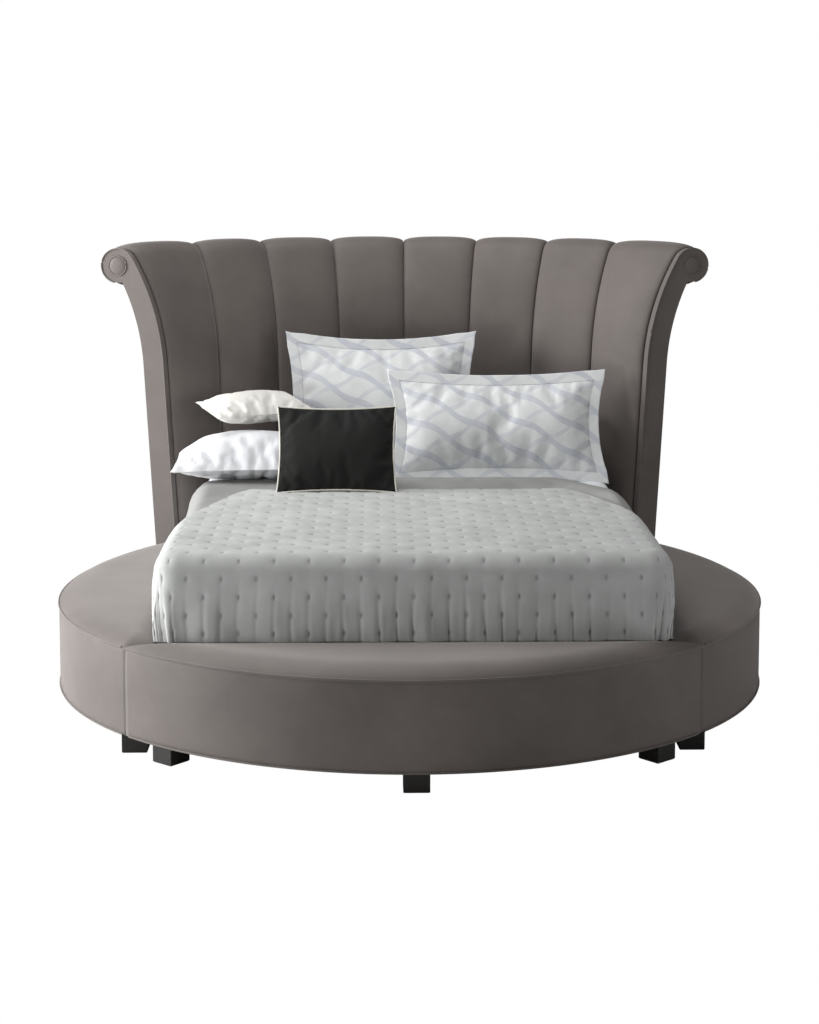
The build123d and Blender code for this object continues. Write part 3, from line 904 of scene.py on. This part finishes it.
    def scroll(self, side: int) -> bpy.types.Object:
        """Build the round upholstered end of the roll, with its piping.

        Args:
            side: minus one for the left, one for the right.

        Returns:
            The scroll's object.
        """
        r0, z0 = self.roll_centre
        angle = self.end_angle(r0, 0)
        centre = Vector((r0 * math.sin(angle), r0 * math.cos(angle), z0))
        away = self.half_angle + self.turn
        normal = Vector((math.cos(away), -math.sin(away), 0))
        along = Vector((math.sin(away), math.cos(away), 0))
        rings = []
        profile = [(0.0005, 0.009), (0.012, 0.0088), (0.026, 0.0075), (0.04, 0.0045), (0.047, 0.0)]
        for radius, out in profile:
            ring = []
            for k in range(self.scroll_sides):
                turn = 2 * math.pi * k / self.scroll_sides
                p = centre + normal * out + along * radius * math.cos(turn)
                ring.append(tuple(p + Vector((0, 0, radius * math.sin(turn)))))
            rings.append(ring)
        disc = grid_object("disc", rings, loop_columns=True)
        path = [tuple(Vector(p) + normal * 0.002) for p in rings[-1]]
        edge = tube_object("edge", path, self.cord, closed=True)
        made = join_objects("scroll", [disc, edge])
        for v in made.data.vertices:
            v.co.x *= side
        made.name = f"headboard_{'left' if side < 0 else 'right'}_scroll"
        return made

    def build(self) -> None:
        """Build the channels, the ends' piping and the scrolls."""
        for index in range(self.channels):
            pad = self.channel(index)
            settle(pad, look(Look.VELVET), "velvet", f"headboard_channel_{index + 1}")
        for side in (-1, 1):
            name = "left" if side < 0 else "right"
            path = [(side * x, y, z) for x, y, z in self.end_edge()]
            cord = tube_object(f"headboard_{name}_end_piping", path, self.cord)
            settle(cord, look(Look.VELVET), "velvet")
            scroll = self.scroll(side)
            settle(scroll, look(Look.VELVET), "velvet")


# Layers of bedding


@dataclass
class BeddingLayer:
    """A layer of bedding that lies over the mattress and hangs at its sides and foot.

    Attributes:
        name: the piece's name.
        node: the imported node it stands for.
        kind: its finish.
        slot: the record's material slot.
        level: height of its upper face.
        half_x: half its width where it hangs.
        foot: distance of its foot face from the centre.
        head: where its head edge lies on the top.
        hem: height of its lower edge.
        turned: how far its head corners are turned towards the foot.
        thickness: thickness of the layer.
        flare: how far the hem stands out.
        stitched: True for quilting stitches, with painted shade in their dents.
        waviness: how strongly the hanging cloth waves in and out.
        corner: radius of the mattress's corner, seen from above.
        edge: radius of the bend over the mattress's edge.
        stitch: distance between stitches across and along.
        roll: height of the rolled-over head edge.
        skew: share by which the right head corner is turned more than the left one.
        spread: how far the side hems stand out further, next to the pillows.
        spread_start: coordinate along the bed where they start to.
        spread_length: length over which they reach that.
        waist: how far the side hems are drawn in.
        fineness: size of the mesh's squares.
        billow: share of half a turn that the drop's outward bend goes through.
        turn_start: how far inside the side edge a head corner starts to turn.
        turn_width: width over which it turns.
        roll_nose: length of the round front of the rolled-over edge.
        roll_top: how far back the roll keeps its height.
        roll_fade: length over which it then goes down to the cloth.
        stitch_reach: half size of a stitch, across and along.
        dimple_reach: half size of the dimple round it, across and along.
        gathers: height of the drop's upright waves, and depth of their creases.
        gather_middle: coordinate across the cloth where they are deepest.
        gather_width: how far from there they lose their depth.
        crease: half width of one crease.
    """

    name: str
    node: str
    kind: Look
    slot: str
    level: float
    half_x: float
    foot: float
    head: float
    hem: float
    turned: float
    thickness: float
    flare: float
    stitched: bool
    waviness: float
    corner: float = 0.1
    edge: float = 0.05
    stitch: tuple[float, float] = (0.136, 0.07)
    roll: float = 0.0
    skew: float = 0.0
    spread: float = 0.0
    spread_start: float = -0.7
    spread_length: float = 0.6
    waist: float = 0.0
    fineness: float = 0.018
    billow: float = 0.62
    turn_start: float = 0.3
    turn_width: float = 0.42
    roll_nose: float = 0.055
    roll_top: float = 0.12
    roll_fade: float = 0.2
    stitch_reach: tuple[float, float] = (0.0045, 0.0105)
    dimple_reach: tuple[float, float] = (0.017, 0.026)
    gathers: tuple[float, float] = (0.0062, 0.0135)
    gather_middle: float = 0.15
    gather_width: float = 0.6
    crease: float = 0.008

    def run(self) -> float:
        """Length of cloth from the flat middle's border to the hem.

        Returns:
            Length in metres.
        """
        return self.corner - self.edge + self.edge * math.pi / 2 + self.level - self.edge - self.hem

    def profile(self, d: float) -> tuple[float, float]:
        """Where cloth at a distance past the middle's border lies.

        Args:
            d: distance past the border, along the cloth.

        Returns:
            Distance out from the border, and height.
        """
        flat = self.corner - self.edge
        if d <= flat:
            return d, self.level
        bend = self.edge * math.pi / 2
        if d <= flat + bend:
            turn = (d - flat) / self.edge
            return flat + self.edge * math.sin(turn), self.level - self.edge * (1 - math.cos(turn))
        fall = d - flat - bend
        share = fall / max(self.level - self.edge - self.hem, 0.01)
        out = self.flare * math.sin(share * math.pi * self.billow)
        return self.corner + out, self.level - self.edge - fall

    def head_edge(self, s: float) -> float:
        """Head edge of the cloth at a distance from the middle line.

        Args:
            s: distance across the cloth.

        Returns:
            The coordinate of the head edge.
        """
        share = max(0.0, (abs(s) - self.half_x + self.turn_start) / self.turn_width)
        turned = self.turned * (1 + self.skew * math.copysign(1, s))
        return self.head - turned * min(share, 1.0) ** 1.35 + 0.006 * ripple(s, 0, 0, 5)

    def fold(self, back: float) -> float:
        """Rise of the folded-over edge at the head.

        Args:
            back: distance from the head edge, towards the foot.

        Returns:
            A share of the fold's full height.
        """
        nose = min(max(back / self.roll_nose, 0.0), 1.0)
        fade = ease((back - self.roll_top) / self.roll_fade)
        return math.sqrt(1 - (1 - nose) ** 2) * (1 - fade)

    def dimple(self, s: float, t: float) -> tuple[float, float]:
        """Quilting at a place on the cloth.

        Args:
            s: distance across.
            t: distance along.

        Returns:
            How near a stitch the place is, and how far it lies in the dimple round one.
        """
        width, length = self.stitch
        row = math.floor(t / length)
        column = s / width + 0.5 * (row % 2)
        ds = (column - math.floor(column) - 0.5) * width
        dt = (t / length - row - 0.5) * length
        wide, long = self.stitch_reach
        stitch = math.exp(-((ds / wide) ** 2) - (dt / long) ** 4)
        wide, long = self.dimple_reach
        return stitch, math.exp(-((ds / wide) ** 2) - (dt / long) ** 2)

    def pucker(self, s: float, t: float) -> float:
        """Upright gathers of the hanging cloth, deepest in the middle.

        Args:
            s: distance across.
            t: distance along.

        Returns:
            Lift of the cloth's face.
        """
        width = self.stitch[0] / 2
        place = s / width + 0.22 * ripple(s, t * 0.6, 1.2, 6)
        near = abs(place - round(place)) * width
        crease = math.exp(-((near / self.crease) ** 2)) * (0.6 + 0.4 * ripple(s, t, 8.0, 7))
        waves = ripple(s * 2.6, t * 0.35, 2.2, 8) + 0.6 * ripple(s * 4.5, t * 0.5, 6.1, 9)
        height, depth = self.gathers
        middle = math.exp(-(((s - self.gather_middle) / self.gather_width) ** 2))
        return (height * waves - depth * crease) * (0.45 + 0.55 * middle)

    def place(self, s: float, t: float) -> Point:
        """Where a place of the flat cloth lies on the bed.

        Args:
            s: distance across the cloth.
            t: distance along it, from the centre of the bed.

        Returns:
            The point in space.
        """
        a, b = self.half_x - self.corner, self.foot - self.corner
        sign = 1 if s >= 0 else -1
        ex, ey = max(abs(s) - a, 0.0), max(-t - b, 0.0)
        d = max(ex, ey)
        out, z = self.profile(d)
        if ex > 0 and ey > 0:
            turn = 0.5 * math.pi * ey / (ex + ey)
            x, y = a + out * math.cos(turn), -b - out * math.sin(turn)
            nx, ny = math.cos(turn), -math.sin(turn)
        elif ex > 0:
            x, y, nx, ny = a + out, t, 1.0, 0.0
        elif ey > 0:
            x, y, nx, ny = abs(s), -b - out, 0.0, -1.0
        else:
            x, y, nx, ny = abs(s), t, 0.0, 0.0
        drop = ease((self.level - self.edge - z + 0.02) / max(self.level - self.hem, 0.05))
        if ex > ey:
            beside = 1 - ey / ex
            x += self.spread * beside * drop**1.4 * ease((t - self.spread_start) / self.spread_length)
            x -= self.waist * beside * drop
        wave = self.sway(s, t, ey > ex) * drop * self.waviness
        steep = ease((d - (self.corner - self.edge)) / (self.edge * math.pi / 2))
        lift = self.lift(s, t, drop)
        x += nx * (wave + lift * steep)
        y += ny * (wave + lift * steep)
        return sign * x, y, z + lift * (1 - steep)

    def sway(self, s: float, t: float, at_foot: bool) -> float:
        """In and out waves of the hanging cloth, which go out further than they go in.

        Args:
            s: distance across the cloth.
            t: distance along it.
            at_foot: True for the drop at the foot end.

        Returns:
            How far the cloth stands out.
        """
        wave = 0.009 * math.sin(s * 23 + 2.1 * math.sin(s * 7)) * (1 if at_foot else 0.3)
        wave += 0.012 * ripple(s, t, 0.7, 3.1) + 0.006 * ripple(s, t, 3.3, 9)
        deepest = -0.007
        softness = 0.006
        return 0.5 * (wave + deepest + math.hypot(wave - deepest, softness))

    def lift(self, s: float, t: float, drop: float) -> float:
        """Relief of the cloth: loose creases, quilting, gathers and the rolled head edge.

        Args:
            s: distance across the cloth.
            t: distance along it.
            drop: from nought on the top to one at the hem.

        Returns:
            How far the cloth lies off its smooth form.
        """
        rise = 0.004 * ripple(s, t, 1.9, 4) + 0.002 * ripple(s, t, 5.1, 13)
        if self.stitched:
            stitch, round_it = self.dimple(s, t)
            deep = 0.75 + 0.5 * ripple(s, t, 4.4, 2.5)
            rise += 0.002 - 0.0025 * stitch - 0.0027 * deep * round_it
            rise += drop * self.pucker(s, t)
        if self.roll:
            rise += self.roll * self.fold(self.head_edge(s) - t)
        return rise

    def build(self) -> None:
        """Build the layer."""
        width = 2 * (self.half_x - self.corner + self.run())
        foot = self.foot - self.corner + self.run()
        columns = int(width / self.fineness)
        lines = int((foot + self.head) / self.fineness)
        rows = []
        # How near each point is to a stitch, kept for the painted shade in the stitch dents.
        stitches = []
        for i in range(lines + 1):
            row = []
            for j in range(columns + 1):
                s = -width / 2 + width * j / columns
                t = -foot + (self.head_edge(s) + foot) * i / lines
                row.append(self.place(s, t))
                if self.stitched:
                    stitches.append(self.dimple(s, t)[0])
            rows.append(row)
        cloth = grid_object(self.name, rows)
        # The quilt's material paints shade into the stitch dents from these values.
        if self.stitched:
            painted_stitch_shade = cloth.data.attributes.new("stitch", "FLOAT", "POINT")
            painted_stitch_shade.data.foreach_set("value", stitches)
        thicken(cloth, self.thickness)
        settle(cloth, look(self.kind), self.slot, self.node)


LAYERS = [
    BeddingLayer(
        "white_fitted_sheet",
        "fitted_sheet",
        Look.SHEET,
        "sheet_cotton",
        level=0.7693,
        half_x=0.9674,
        foot=1.0174,
        head=1.0,
        hem=0.5,
        turned=0.0,
        thickness=0.002,
        flare=0.0,
        stitched=False,
        waviness=0.0,
        spread=0.075,
    ),
    BeddingLayer(
        "grey_coverlet",
        "blanket",
        Look.BLANKET,
        "coverlet",
        level=0.7748,
        half_x=0.9729,
        foot=1.0229,
        head=0.74,
        hem=0.475,
        turned=0.42,
        thickness=0.006,
        flare=0.012,
        stitched=False,
        waviness=0.6,
        roll=0.036,
        skew=0.6,
        spread=0.095,
    ),
    BeddingLayer(
        "stitched_quilt",
        "quilt",
        Look.QUILT,
        "quilted_cotton",
        level=0.793,
        half_x=1.018,
        foot=1.03,
        head=0.47,
        hem=0.46,
        turned=1.3,
        thickness=0.01,
        flare=0.03,
        stitched=True,
        waviness=1.0,
        edge=0.075,
        skew=-0.12,
        waist=0.047,
        fineness=0.0065,
    ),
]


# Pillows


@dataclass(frozen=True)
class PillowCloth:
    """How the cloth of a pillow behaves while it is blown up.

    Attributes:
        quality: steps of the simulation in each frame.
        mass: mass of one point of the cloth.
        tension: resistance to stretching.
        compression: resistance to shrinking.
        shear: resistance to skewing.
        bending: resistance to bending.
        damping: how strongly the air slows it down.
        flatness: share of the fitted thickness that the panels start with.
    """

    quality: int = 6
    mass: float = 0.25
    tension: float = 30
    compression: float = 12
    shear: float = 12
    bending: float = 0.4
    damping: float = 6
    flatness: float = 0.45


@dataclass
class Pillow:
    """A stuffed pillow: two panels sewn at the edge, which a cloth simulation blows up.

    Attributes:
        name: the piece's name.
        node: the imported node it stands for.
        place: middle of the pillow.
        yaw: turn about the upright, in degrees.
        tilt: tilt of its face above level, in degrees.
        size: width, height and thickness of the stuffed part.
        kind: its finish.
        slot: the record's material slot.
        flange: width of a flat flange round it, or nought.
        piped: True for a cord round the seam.
        cord: radius of that cord.
        pull: how far the sides are drawn in between the corners, as a share.
        corners: how far the corners are moved to the right: lower left, lower right,
            upper left and upper right.
        fullness: how square and how steep the filling's section is.
        flange_thickness: thickness of the flange.
        flange_wave: how far the flange's edge waves up and down.
        cord_out: how far the cord lies outside the sewn edge.
        slack: share by which the panels are larger than the sewn edge.
        pressure: pressure of the filling.
        frames: frames of the simulation.
        columns: mesh steps across a panel.
        cloth: how the cloth behaves.
    """

    name: str
    node: str
    place: Point
    yaw: float
    tilt: float
    size: tuple[float, float, float]
    kind: Look
    slot: str
    flange: float = 0.0
    piped: bool = False
    cord: float = 0.0035
    pull: float = 0.05
    corners: tuple[float, float, float, float] = (0.0, 0.0, 0.0, 0.0)
    fullness: tuple[float, float] = (2.6, 0.58)
    flange_thickness: float = 0.004
    flange_wave: float = 0.006
    cord_out: float = 0.002
    slack: float = 0.05
    pressure: float = 2.2
    frames: int = 34
    columns: int = 46
    cloth: PillowCloth = PillowCloth()

    def axes(self) -> tuple[Vector, Vector, Vector]:
        """Directions of the pillow's width, height and face.

        Returns:
            Three unit vectors.
        """
        spin, rise = math.radians(self.yaw), math.radians(self.tilt)
        across = Vector((math.cos(spin), math.sin(spin), 0))
        away = math.sin(rise)
        face = Vector((math.sin(spin) * away, -math.cos(spin) * away, math.cos(rise)))
        return across, face.cross(across), face

    def swell(self, u: float, v: float) -> float:
        """Half thickness of the filling at a place.

        Args:
            u: from minus one to one across.
            v: from minus one to one up.

        Returns:
            Half the thickness.
        """
        square, steep = self.fullness
        bulge = max(0.0, (1 - abs(u) ** square) * (1 - abs(v) ** square))
        crease = 0.004 * ripple(u, v, self.place[0] * 3, 4.5) + 0.0025 * ripple(u, v, 2, 11)
        return self.size[2] / 2 * bulge**steep + crease * bulge**0.3

    def plan(self, u: float, v: float) -> tuple[float, float]:
        """Place of a point in the pillow's middle plane, with the sides drawn in.

        Args:
            u: from minus one to one across.
            v: from minus one to one up.

        Returns:
            Width and height coordinates.
        """
        w, h = self.size[0] / 2 - self.flange, self.size[1] / 2 - self.flange
        x = w * u * (1 - self.pull * (1 - v * v) * abs(u) ** 3)
        drawn = self.corners[(1 if u > 0 else 0) + (2 if v > 0 else 0)]
        x += drawn * (abs(u) * abs(v)) ** 1.2
        y = h * v * (1 - self.pull * 1.5 * (1 - u * u) * abs(v) ** 3)
        return x, y

    def panels(self) -> tuple[list[list[Vector]], list[list[Vector]]]:
        """Shape of the two panels in the pillow's own axes, before any simulation.

        Returns:
            Rows of points of the front panel and of the back panel.
        """
        n = self.columns
        m = max(24, int(n * self.size[1] / self.size[0]))
        sides = []
        for side in (1, -1):
            rows = []
            for i in range(m + 1):
                v = 2 * i / m - 1
                row = []
                for j in range(n + 1):
                    u = 2 * j / n - 1
                    x, y = self.plan(u, v)
                    row.append(Vector((x, y, side * self.swell(u, v))))
                rows.append(row)
            sides.append(rows)
        return sides[0], sides[1]

    def sewn(self) -> tuple[bpy.types.Object, list[list[list[int]]]]:
        """Sew the two panels together into one closed shell that starts out nearly flat.

        Returns:
            The shell, with its sewn edge as a vertex group, and for each panel the rows
            of its points' numbers.
        """
        front, back = self.panels()
        m, n = len(front) - 1, len(front[0]) - 1
        points: list[Point] = []
        numbers: list[list[list[int]]] = []
        faces = []
        edge = []
        for side, rows in enumerate((front, back)):
            panel = []
            for i, row in enumerate(rows):
                line = []
                for j, p in enumerate(row):
                    rim = i in (0, m) or j in (0, n)
                    if side and rim:
                        line.append(numbers[0][i][j])
                        continue
                    if rim:
                        edge.append(len(points))
                    line.append(len(points))
                    points.append((p.x, p.y, 0.0 if rim else p.z * self.cloth.flatness))
                panel.append(line)
            numbers.append(panel)
            for low, high in zip(panel, panel[1:]):
                for j in range(n):
                    face = (low[j], low[j + 1], high[j + 1], high[j])
                    faces.append(face[::-1] if side else face)
        mesh = bpy.data.meshes.new("shell")
        mesh.from_pydata(points, [], faces)
        shell = bpy.data.objects.new("shell", mesh)
        bpy.context.scene.collection.objects.link(shell)
        shell.vertex_groups.new(name="sewn").add(edge, 1.0, "REPLACE")
        return shell, numbers

    def blown(self) -> tuple[list[list[Vector]], list[list[Vector]]]:
        """Blow up two sewn panels of cloth with a short simulation.

        Returns:
            Rows of points of the front panel and of the back panel, at rest.
        """
        shell, numbers = self.sewn()
        filling = shell.modifiers.new("filling", "CLOTH")
        settings = filling.settings
        settings.vertex_group_mass = "sewn"
        settings.shrink_min = -self.slack
        settings.quality = self.cloth.quality
        settings.mass = self.cloth.mass
        settings.tension_stiffness = self.cloth.tension
        settings.compression_stiffness = self.cloth.compression
        settings.shear_stiffness = self.cloth.shear
        settings.bending_stiffness = self.cloth.bending
        settings.air_damping = self.cloth.damping
        settings.use_pressure = True
        settings.uniform_pressure_force = self.pressure
        settings.effector_weights.gravity = 0
        filling.collision_settings.use_collision = False
        filling.point_cache.frame_start = 1
        filling.point_cache.frame_end = self.frames
        scene = bpy.context.scene
        for number in range(1, self.frames + 1):
            scene.frame_set(number)
        settled = shell.evaluated_get(bpy.context.evaluated_depsgraph_get())
        places = [v.co.copy() for v in settled.data.vertices]
        bpy.data.objects.remove(shell)
        scene.frame_set(1)
        thick = max(abs(p.z) for p in places)
        fit = Vector((1, 1, self.size[2] / 2 / thick))
        log.info("blew up %s, %.3f m thick before fitting", self.name, 2 * thick)
        front, back = ([[places[k] * fit for k in line] for line in panel] for panel in numbers)
        return front, back

    def build(self) -> None:
        """Build the pillow."""
        across, up, face = self.axes()
        centre = Vector(self.place)
        front, back = self.blown()

        def out(p: Vector) -> Point:
            """Carry a point from the pillow's own axes into the bed's.

            Args:
                p: the point.

            Returns:
                The same point in the bed's axes.
            """
            return tuple(centre + across * p.x + up * p.y + face * p.z)

        parts = [
            grid_object("front", [[out(p) for p in row] for row in front]),
            grid_object("back", [[out(p) for p in row[::-1]] for row in back]),
        ]
        rim = self.rim(front)
        if self.flange:
            parts.append(self.border(rim, out))
        body = join_objects(self.name, parts)
        self.unwrap(body, centre, across, up)
        settle(body, look(self.kind), self.slot, self.node)
        if self.piped:
            path = [out(p * (1 + self.cord_out / max(p.length, 0.01))) for p in rim]
            cord = tube_object(f"{self.name}_cord", path, self.cord, closed=True)
            settle(cord, look(Look.CORD), "cream_cord", f"{self.node}_piping")

    def rim(self, rows: list[list[Vector]]) -> list[Vector]:
        """Sewn edge of the pillow, all round.

        Args:
            rows: rows of points of one panel.

        Returns:
            Points round the edge.
        """
        loop = list(rows[0]) + [row[-1] for row in rows[1:]]
        loop += list(rows[-1])[-2::-1] + [row[0] for row in rows[-2:0:-1]]
        return loop

    def border(self, rim: list[Vector], out: Callable[[Vector], Point]) -> bpy.types.Object:
        """Build the flat flange round the filling.

        Args:
            rim: the sewn edge.
            out: carries a point into the bed's axes.

        Returns:
            The flange's object.
        """
        w, h = self.size[0] / 2 - self.flange, self.size[1] / 2 - self.flange
        rings = []
        for share in (0.0, 0.3, 0.6, 0.9, 1.0):
            ring = []
            for k, p in enumerate(rim):
                u, v = max(-1.0, min(1.0, p.x / w)), max(-1.0, min(1.0, p.y / h))
                edge = max(abs(u), abs(v))
                grow = self.flange * share * (1 + 0.1 * abs(u * v) ** 6)
                x = p.x + grow * (math.copysign(1, u) if abs(u) > 0.93 * edge else 0.3 * u)
                y = p.y + grow * (math.copysign(1, v) if abs(v) > 0.93 * edge else 0.3 * v)
                sway = self.flange_wave * share * ripple(p.x, p.y, self.place[0], 7)
                ring.append(Vector((x, y, p.z + sway + self.flange_thickness / 2)))
            rings.append(ring)
        through = Vector((0, 0, self.flange_thickness))
        back = [[q - through for q in ring] for ring in reversed(rings)]
        rows = [[out(q) for q in ring] for ring in rings + back]
        return grid_object("flange", rows, loop_columns=True)

    def unwrap(self, body: bpy.types.Object, centre: Vector, across: Vector, up: Vector) -> None:
        """Store the flat cloth coordinates that the print follows.

        Args:
            body: the pillow.
            centre: its middle.
            across: direction of its width.
            up: direction of its height.
        """
        layer = body.data.uv_layers.new(name="cloth")
        places = [v.co - centre for v in body.data.vertices]
        for loop in body.data.loops:
            p = places[loop.vertex_index]
            layer.data[loop.index].uv = (p.dot(across), p.dot(up))


PILLOWS = [
    Pillow(
        "left_lower_sleeping_pillow",
        "left_lower_pillow",
        place=(-0.75, 0.765, 0.9023),
        yaw=5,
        tilt=8,
        size=(0.7, 0.47, 0.23),
        kind=Look.COTTON,
        slot="white_cotton",
        corners=(-0.02, 0.0, 0.17, 0.0),
    ),
    Pillow(
        "left_upper_sleeping_pillow",
        "left_upper_pillow",
        place=(-0.728, 0.955, 1.1132),
        yaw=25,
        tilt=6,
        size=(0.5, 0.34, 0.155),
        kind=Look.SATIN,
        slot="satin_cotton",
    ),
    Pillow(
        "right_sleeping_pillow",
        "right_pillow",
        place=(0.693, 1.126, 0.9232),
        yaw=-35,
        tilt=58,
        size=(0.56, 0.33, 0.13),
        kind=Look.COTTON,
        slot="white_cotton",
        corners=(0.0, 0.09, 0.0, -0.13),
    ),
    Pillow(
        "back_printed_sham",
        "back_sham",
        place=(-0.12, 1.174, 1.1034),
        yaw=0,
        tilt=76,
        size=(0.94, 0.71, 0.15),
        kind=Look.PRINT,
        slot="printed_cotton",
        flange=0.05,
        pull=0.085,
        slack=0.03,
    ),
    Pillow(
        "front_printed_sham",
        "front_sham",
        place=(0.44, 0.905, 1.0231),
        yaw=0,
        tilt=69,
        size=(1.05, 0.56, 0.15),
        kind=Look.PRINT,
        slot="printed_cotton",
        flange=0.05,
        pull=0.075,
        slack=0.03,
    ),
    Pillow(
        "dark_accent_cushion",
        "accent_cushion",
        place=(-0.327, 0.468, 0.9804),
        yaw=0,
        tilt=66,
        size=(0.545, 0.41, 0.12),
        kind=Look.DARK_VELVET,
        slot="dark_velvet",
        piped=True,
    ),
]


@dataclass
class Bedding:
    """Layers of bedding and pillows, from the bottom up.

    Attributes:
        layers: the layers that lie over the mattress.
        pillows: the pillows on top.
    """

    layers: list[BeddingLayer]
    pillows: list[Pillow]

    def build(self) -> None:
        """Build every layer and pillow."""
        for layer in self.layers:
            layer.build()
        for pillow in self.pillows:
            pillow.build()


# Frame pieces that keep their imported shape


DRESSED = {
    Look.PLYWOOD: [
        "_frame",
        "_base",
        "headboard_front_skin",
        "headboard_ribs",
        "headboard_bottom_rail",
        "headboard_roll_core",
    ],
    Look.PINE: ["centre_beam", "centre_beam_legs", "deck_slats", "left_deck_rail", "right_deck_rail"],
    Look.DARK_WOOD: ["_feet"],
    Look.VELVET: ["headboard_back_skin", "headboard_left_end", "headboard_right_end", "head_filler"],
    Look.TICKING: ["mattress", "box_spring"],
    Look.STEEL: ["headboard_bolts"],
}


def dress_frame() -> None:
    """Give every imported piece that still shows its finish."""
    for name, node in NODES.items():
        if node.hide_render:
            continue
        chosen = next(kind for kind, endings in DRESSED.items() if name.endswith(tuple(endings)))
        node.data.materials.clear()
        node.data.materials.append(look(chosen))
        log.info("dressed %s as %s", name, chosen.value.name)


# Studio


@dataclass(frozen=True)
class Lamp:
    """A soft square lamp.

    Attributes:
        name: the lamp's name.
        place: where it stands.
        target: what it points at.
        size: side of its square face.
        power: power in watts.
    """

    name: str
    place: Point
    target: Point
    size: float
    power: float

    def build(self) -> None:
        """Add the lamp to the stage."""
        light = bpy.data.lights.new(self.name, "AREA")
        light.size = self.size
        light.energy = self.power
        made = bpy.data.objects.new(self.name, light)
        bpy.context.scene.collection.objects.link(made)
        made.location = self.place
        aim = Vector(self.target) - Vector(self.place)
        made.rotation_euler = aim.to_track_quat("-Z", "Y").to_euler()


LAMPS = (
    Lamp("key_lamp", (-5.8, 0.3, 2.3), (-0.9, -0.6, 0.3), 2.4, 430),
    Lamp("left_lamp", (-4.3, -2.5, 0.7), (-1.2, -1.3, 0.1), 1.2, 95),
    Lamp("top_lamp", (-1.2, 0.3, 5.2), (0, 0, 0.6), 2.6, 150),
    Lamp("front_lamp", (1.5, -7.5, 3.0), (0, 0, 0.8), 4.0, 15),
    Lamp("side_lamp", (5.6, -3.0, 1.6), (0.9, -1.4, 0.2), 1.6, 60),
)


@dataclass(frozen=True)
class Studio:
    """Camera, lamps and white surroundings.

    Attributes:
        lamps: the lamps.
        place: the camera's place.
        pitch: how far the camera looks down, in degrees.
        yaw: how far it looks to the right, in degrees.
        lens: focal length in millimetres.
        shift: upward shift of the lens, as a share of the picture.
        room: strength of the light that comes from all round.
        floor: half the side of the square floor.
    """

    lamps: tuple[Lamp, ...]
    place: Point = (-0.155, -8.69, 2.395)
    pitch: float = 6.0
    yaw: float = 1.02
    lens: float = 70.66
    shift: float = -0.1567
    room: float = 0.12
    floor: float = 9.0

    def build(self) -> None:
        """Build the camera, the lamps, the floor and the world."""
        bpy.context.scene.view_settings.view_transform = "Standard"
        self.build_camera()
        for lamp in self.lamps:
            lamp.build()
        self.build_floor()
        self.build_world()

    def build_camera(self) -> None:
        """Place the camera."""
        scene = bpy.context.scene
        camera = bpy.data.objects.new("camera", bpy.data.cameras.new("camera"))
        scene.collection.objects.link(camera)
        camera.data.lens = self.lens
        camera.data.shift_y = self.shift
        camera.location = self.place
        camera.rotation_euler = (math.radians(90 - self.pitch), 0, -math.radians(self.yaw))
        scene.camera = camera

    def build_floor(self) -> None:
        """Build the floor, which the camera doesn't see but which throws light back."""
        reach = self.floor
        floor = grid_object("floor", [[(x, y, 0) for x in (-reach, reach)] for y in (-reach, reach)])
        paint = Finish("floor_paint", (0.6, 0.6, 0.6), (0.66, 0.66, 0.66), scale=2)
        floor.data.materials.append(paint.build())
        floor.visible_camera = False

    def build_world(self) -> None:
        """Build the world: white for the camera, and a weak light for everything else."""
        world = bpy.data.worlds.new("studio")
        bpy.context.scene.world = world
        world.use_nodes = True
        nodes, links = world.node_tree.nodes, world.node_tree.links
        path = nodes.new("ShaderNodeLightPath")
        mix = nodes.new("ShaderNodeMixShader")
        room = nodes["Background"]
        room.inputs["Color"].default_value = (1, 1, 1, 1)
        room.inputs["Strength"].default_value = self.room
        white = nodes.new("ShaderNodeBackground")
        white.inputs["Color"].default_value = (1, 1, 1, 1)
        links.new(path.outputs["Is Camera Ray"], mix.inputs[0])
        links.new(room.outputs[0], mix.inputs[1])
        links.new(white.outputs[0], mix.inputs[2])
        links.new(mix.outputs[0], nodes["World Output"].inputs["Surface"])


def main() -> None:
    """Build the whole scene."""
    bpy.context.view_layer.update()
    for side in Side:
        BenchModule(side).build()
    Headboard().build()
    Bedding(LAYERS, PILLOWS).build()
    dress_frame()
    Studio(LAMPS).build()


if __name__ == "__main__":
    main()
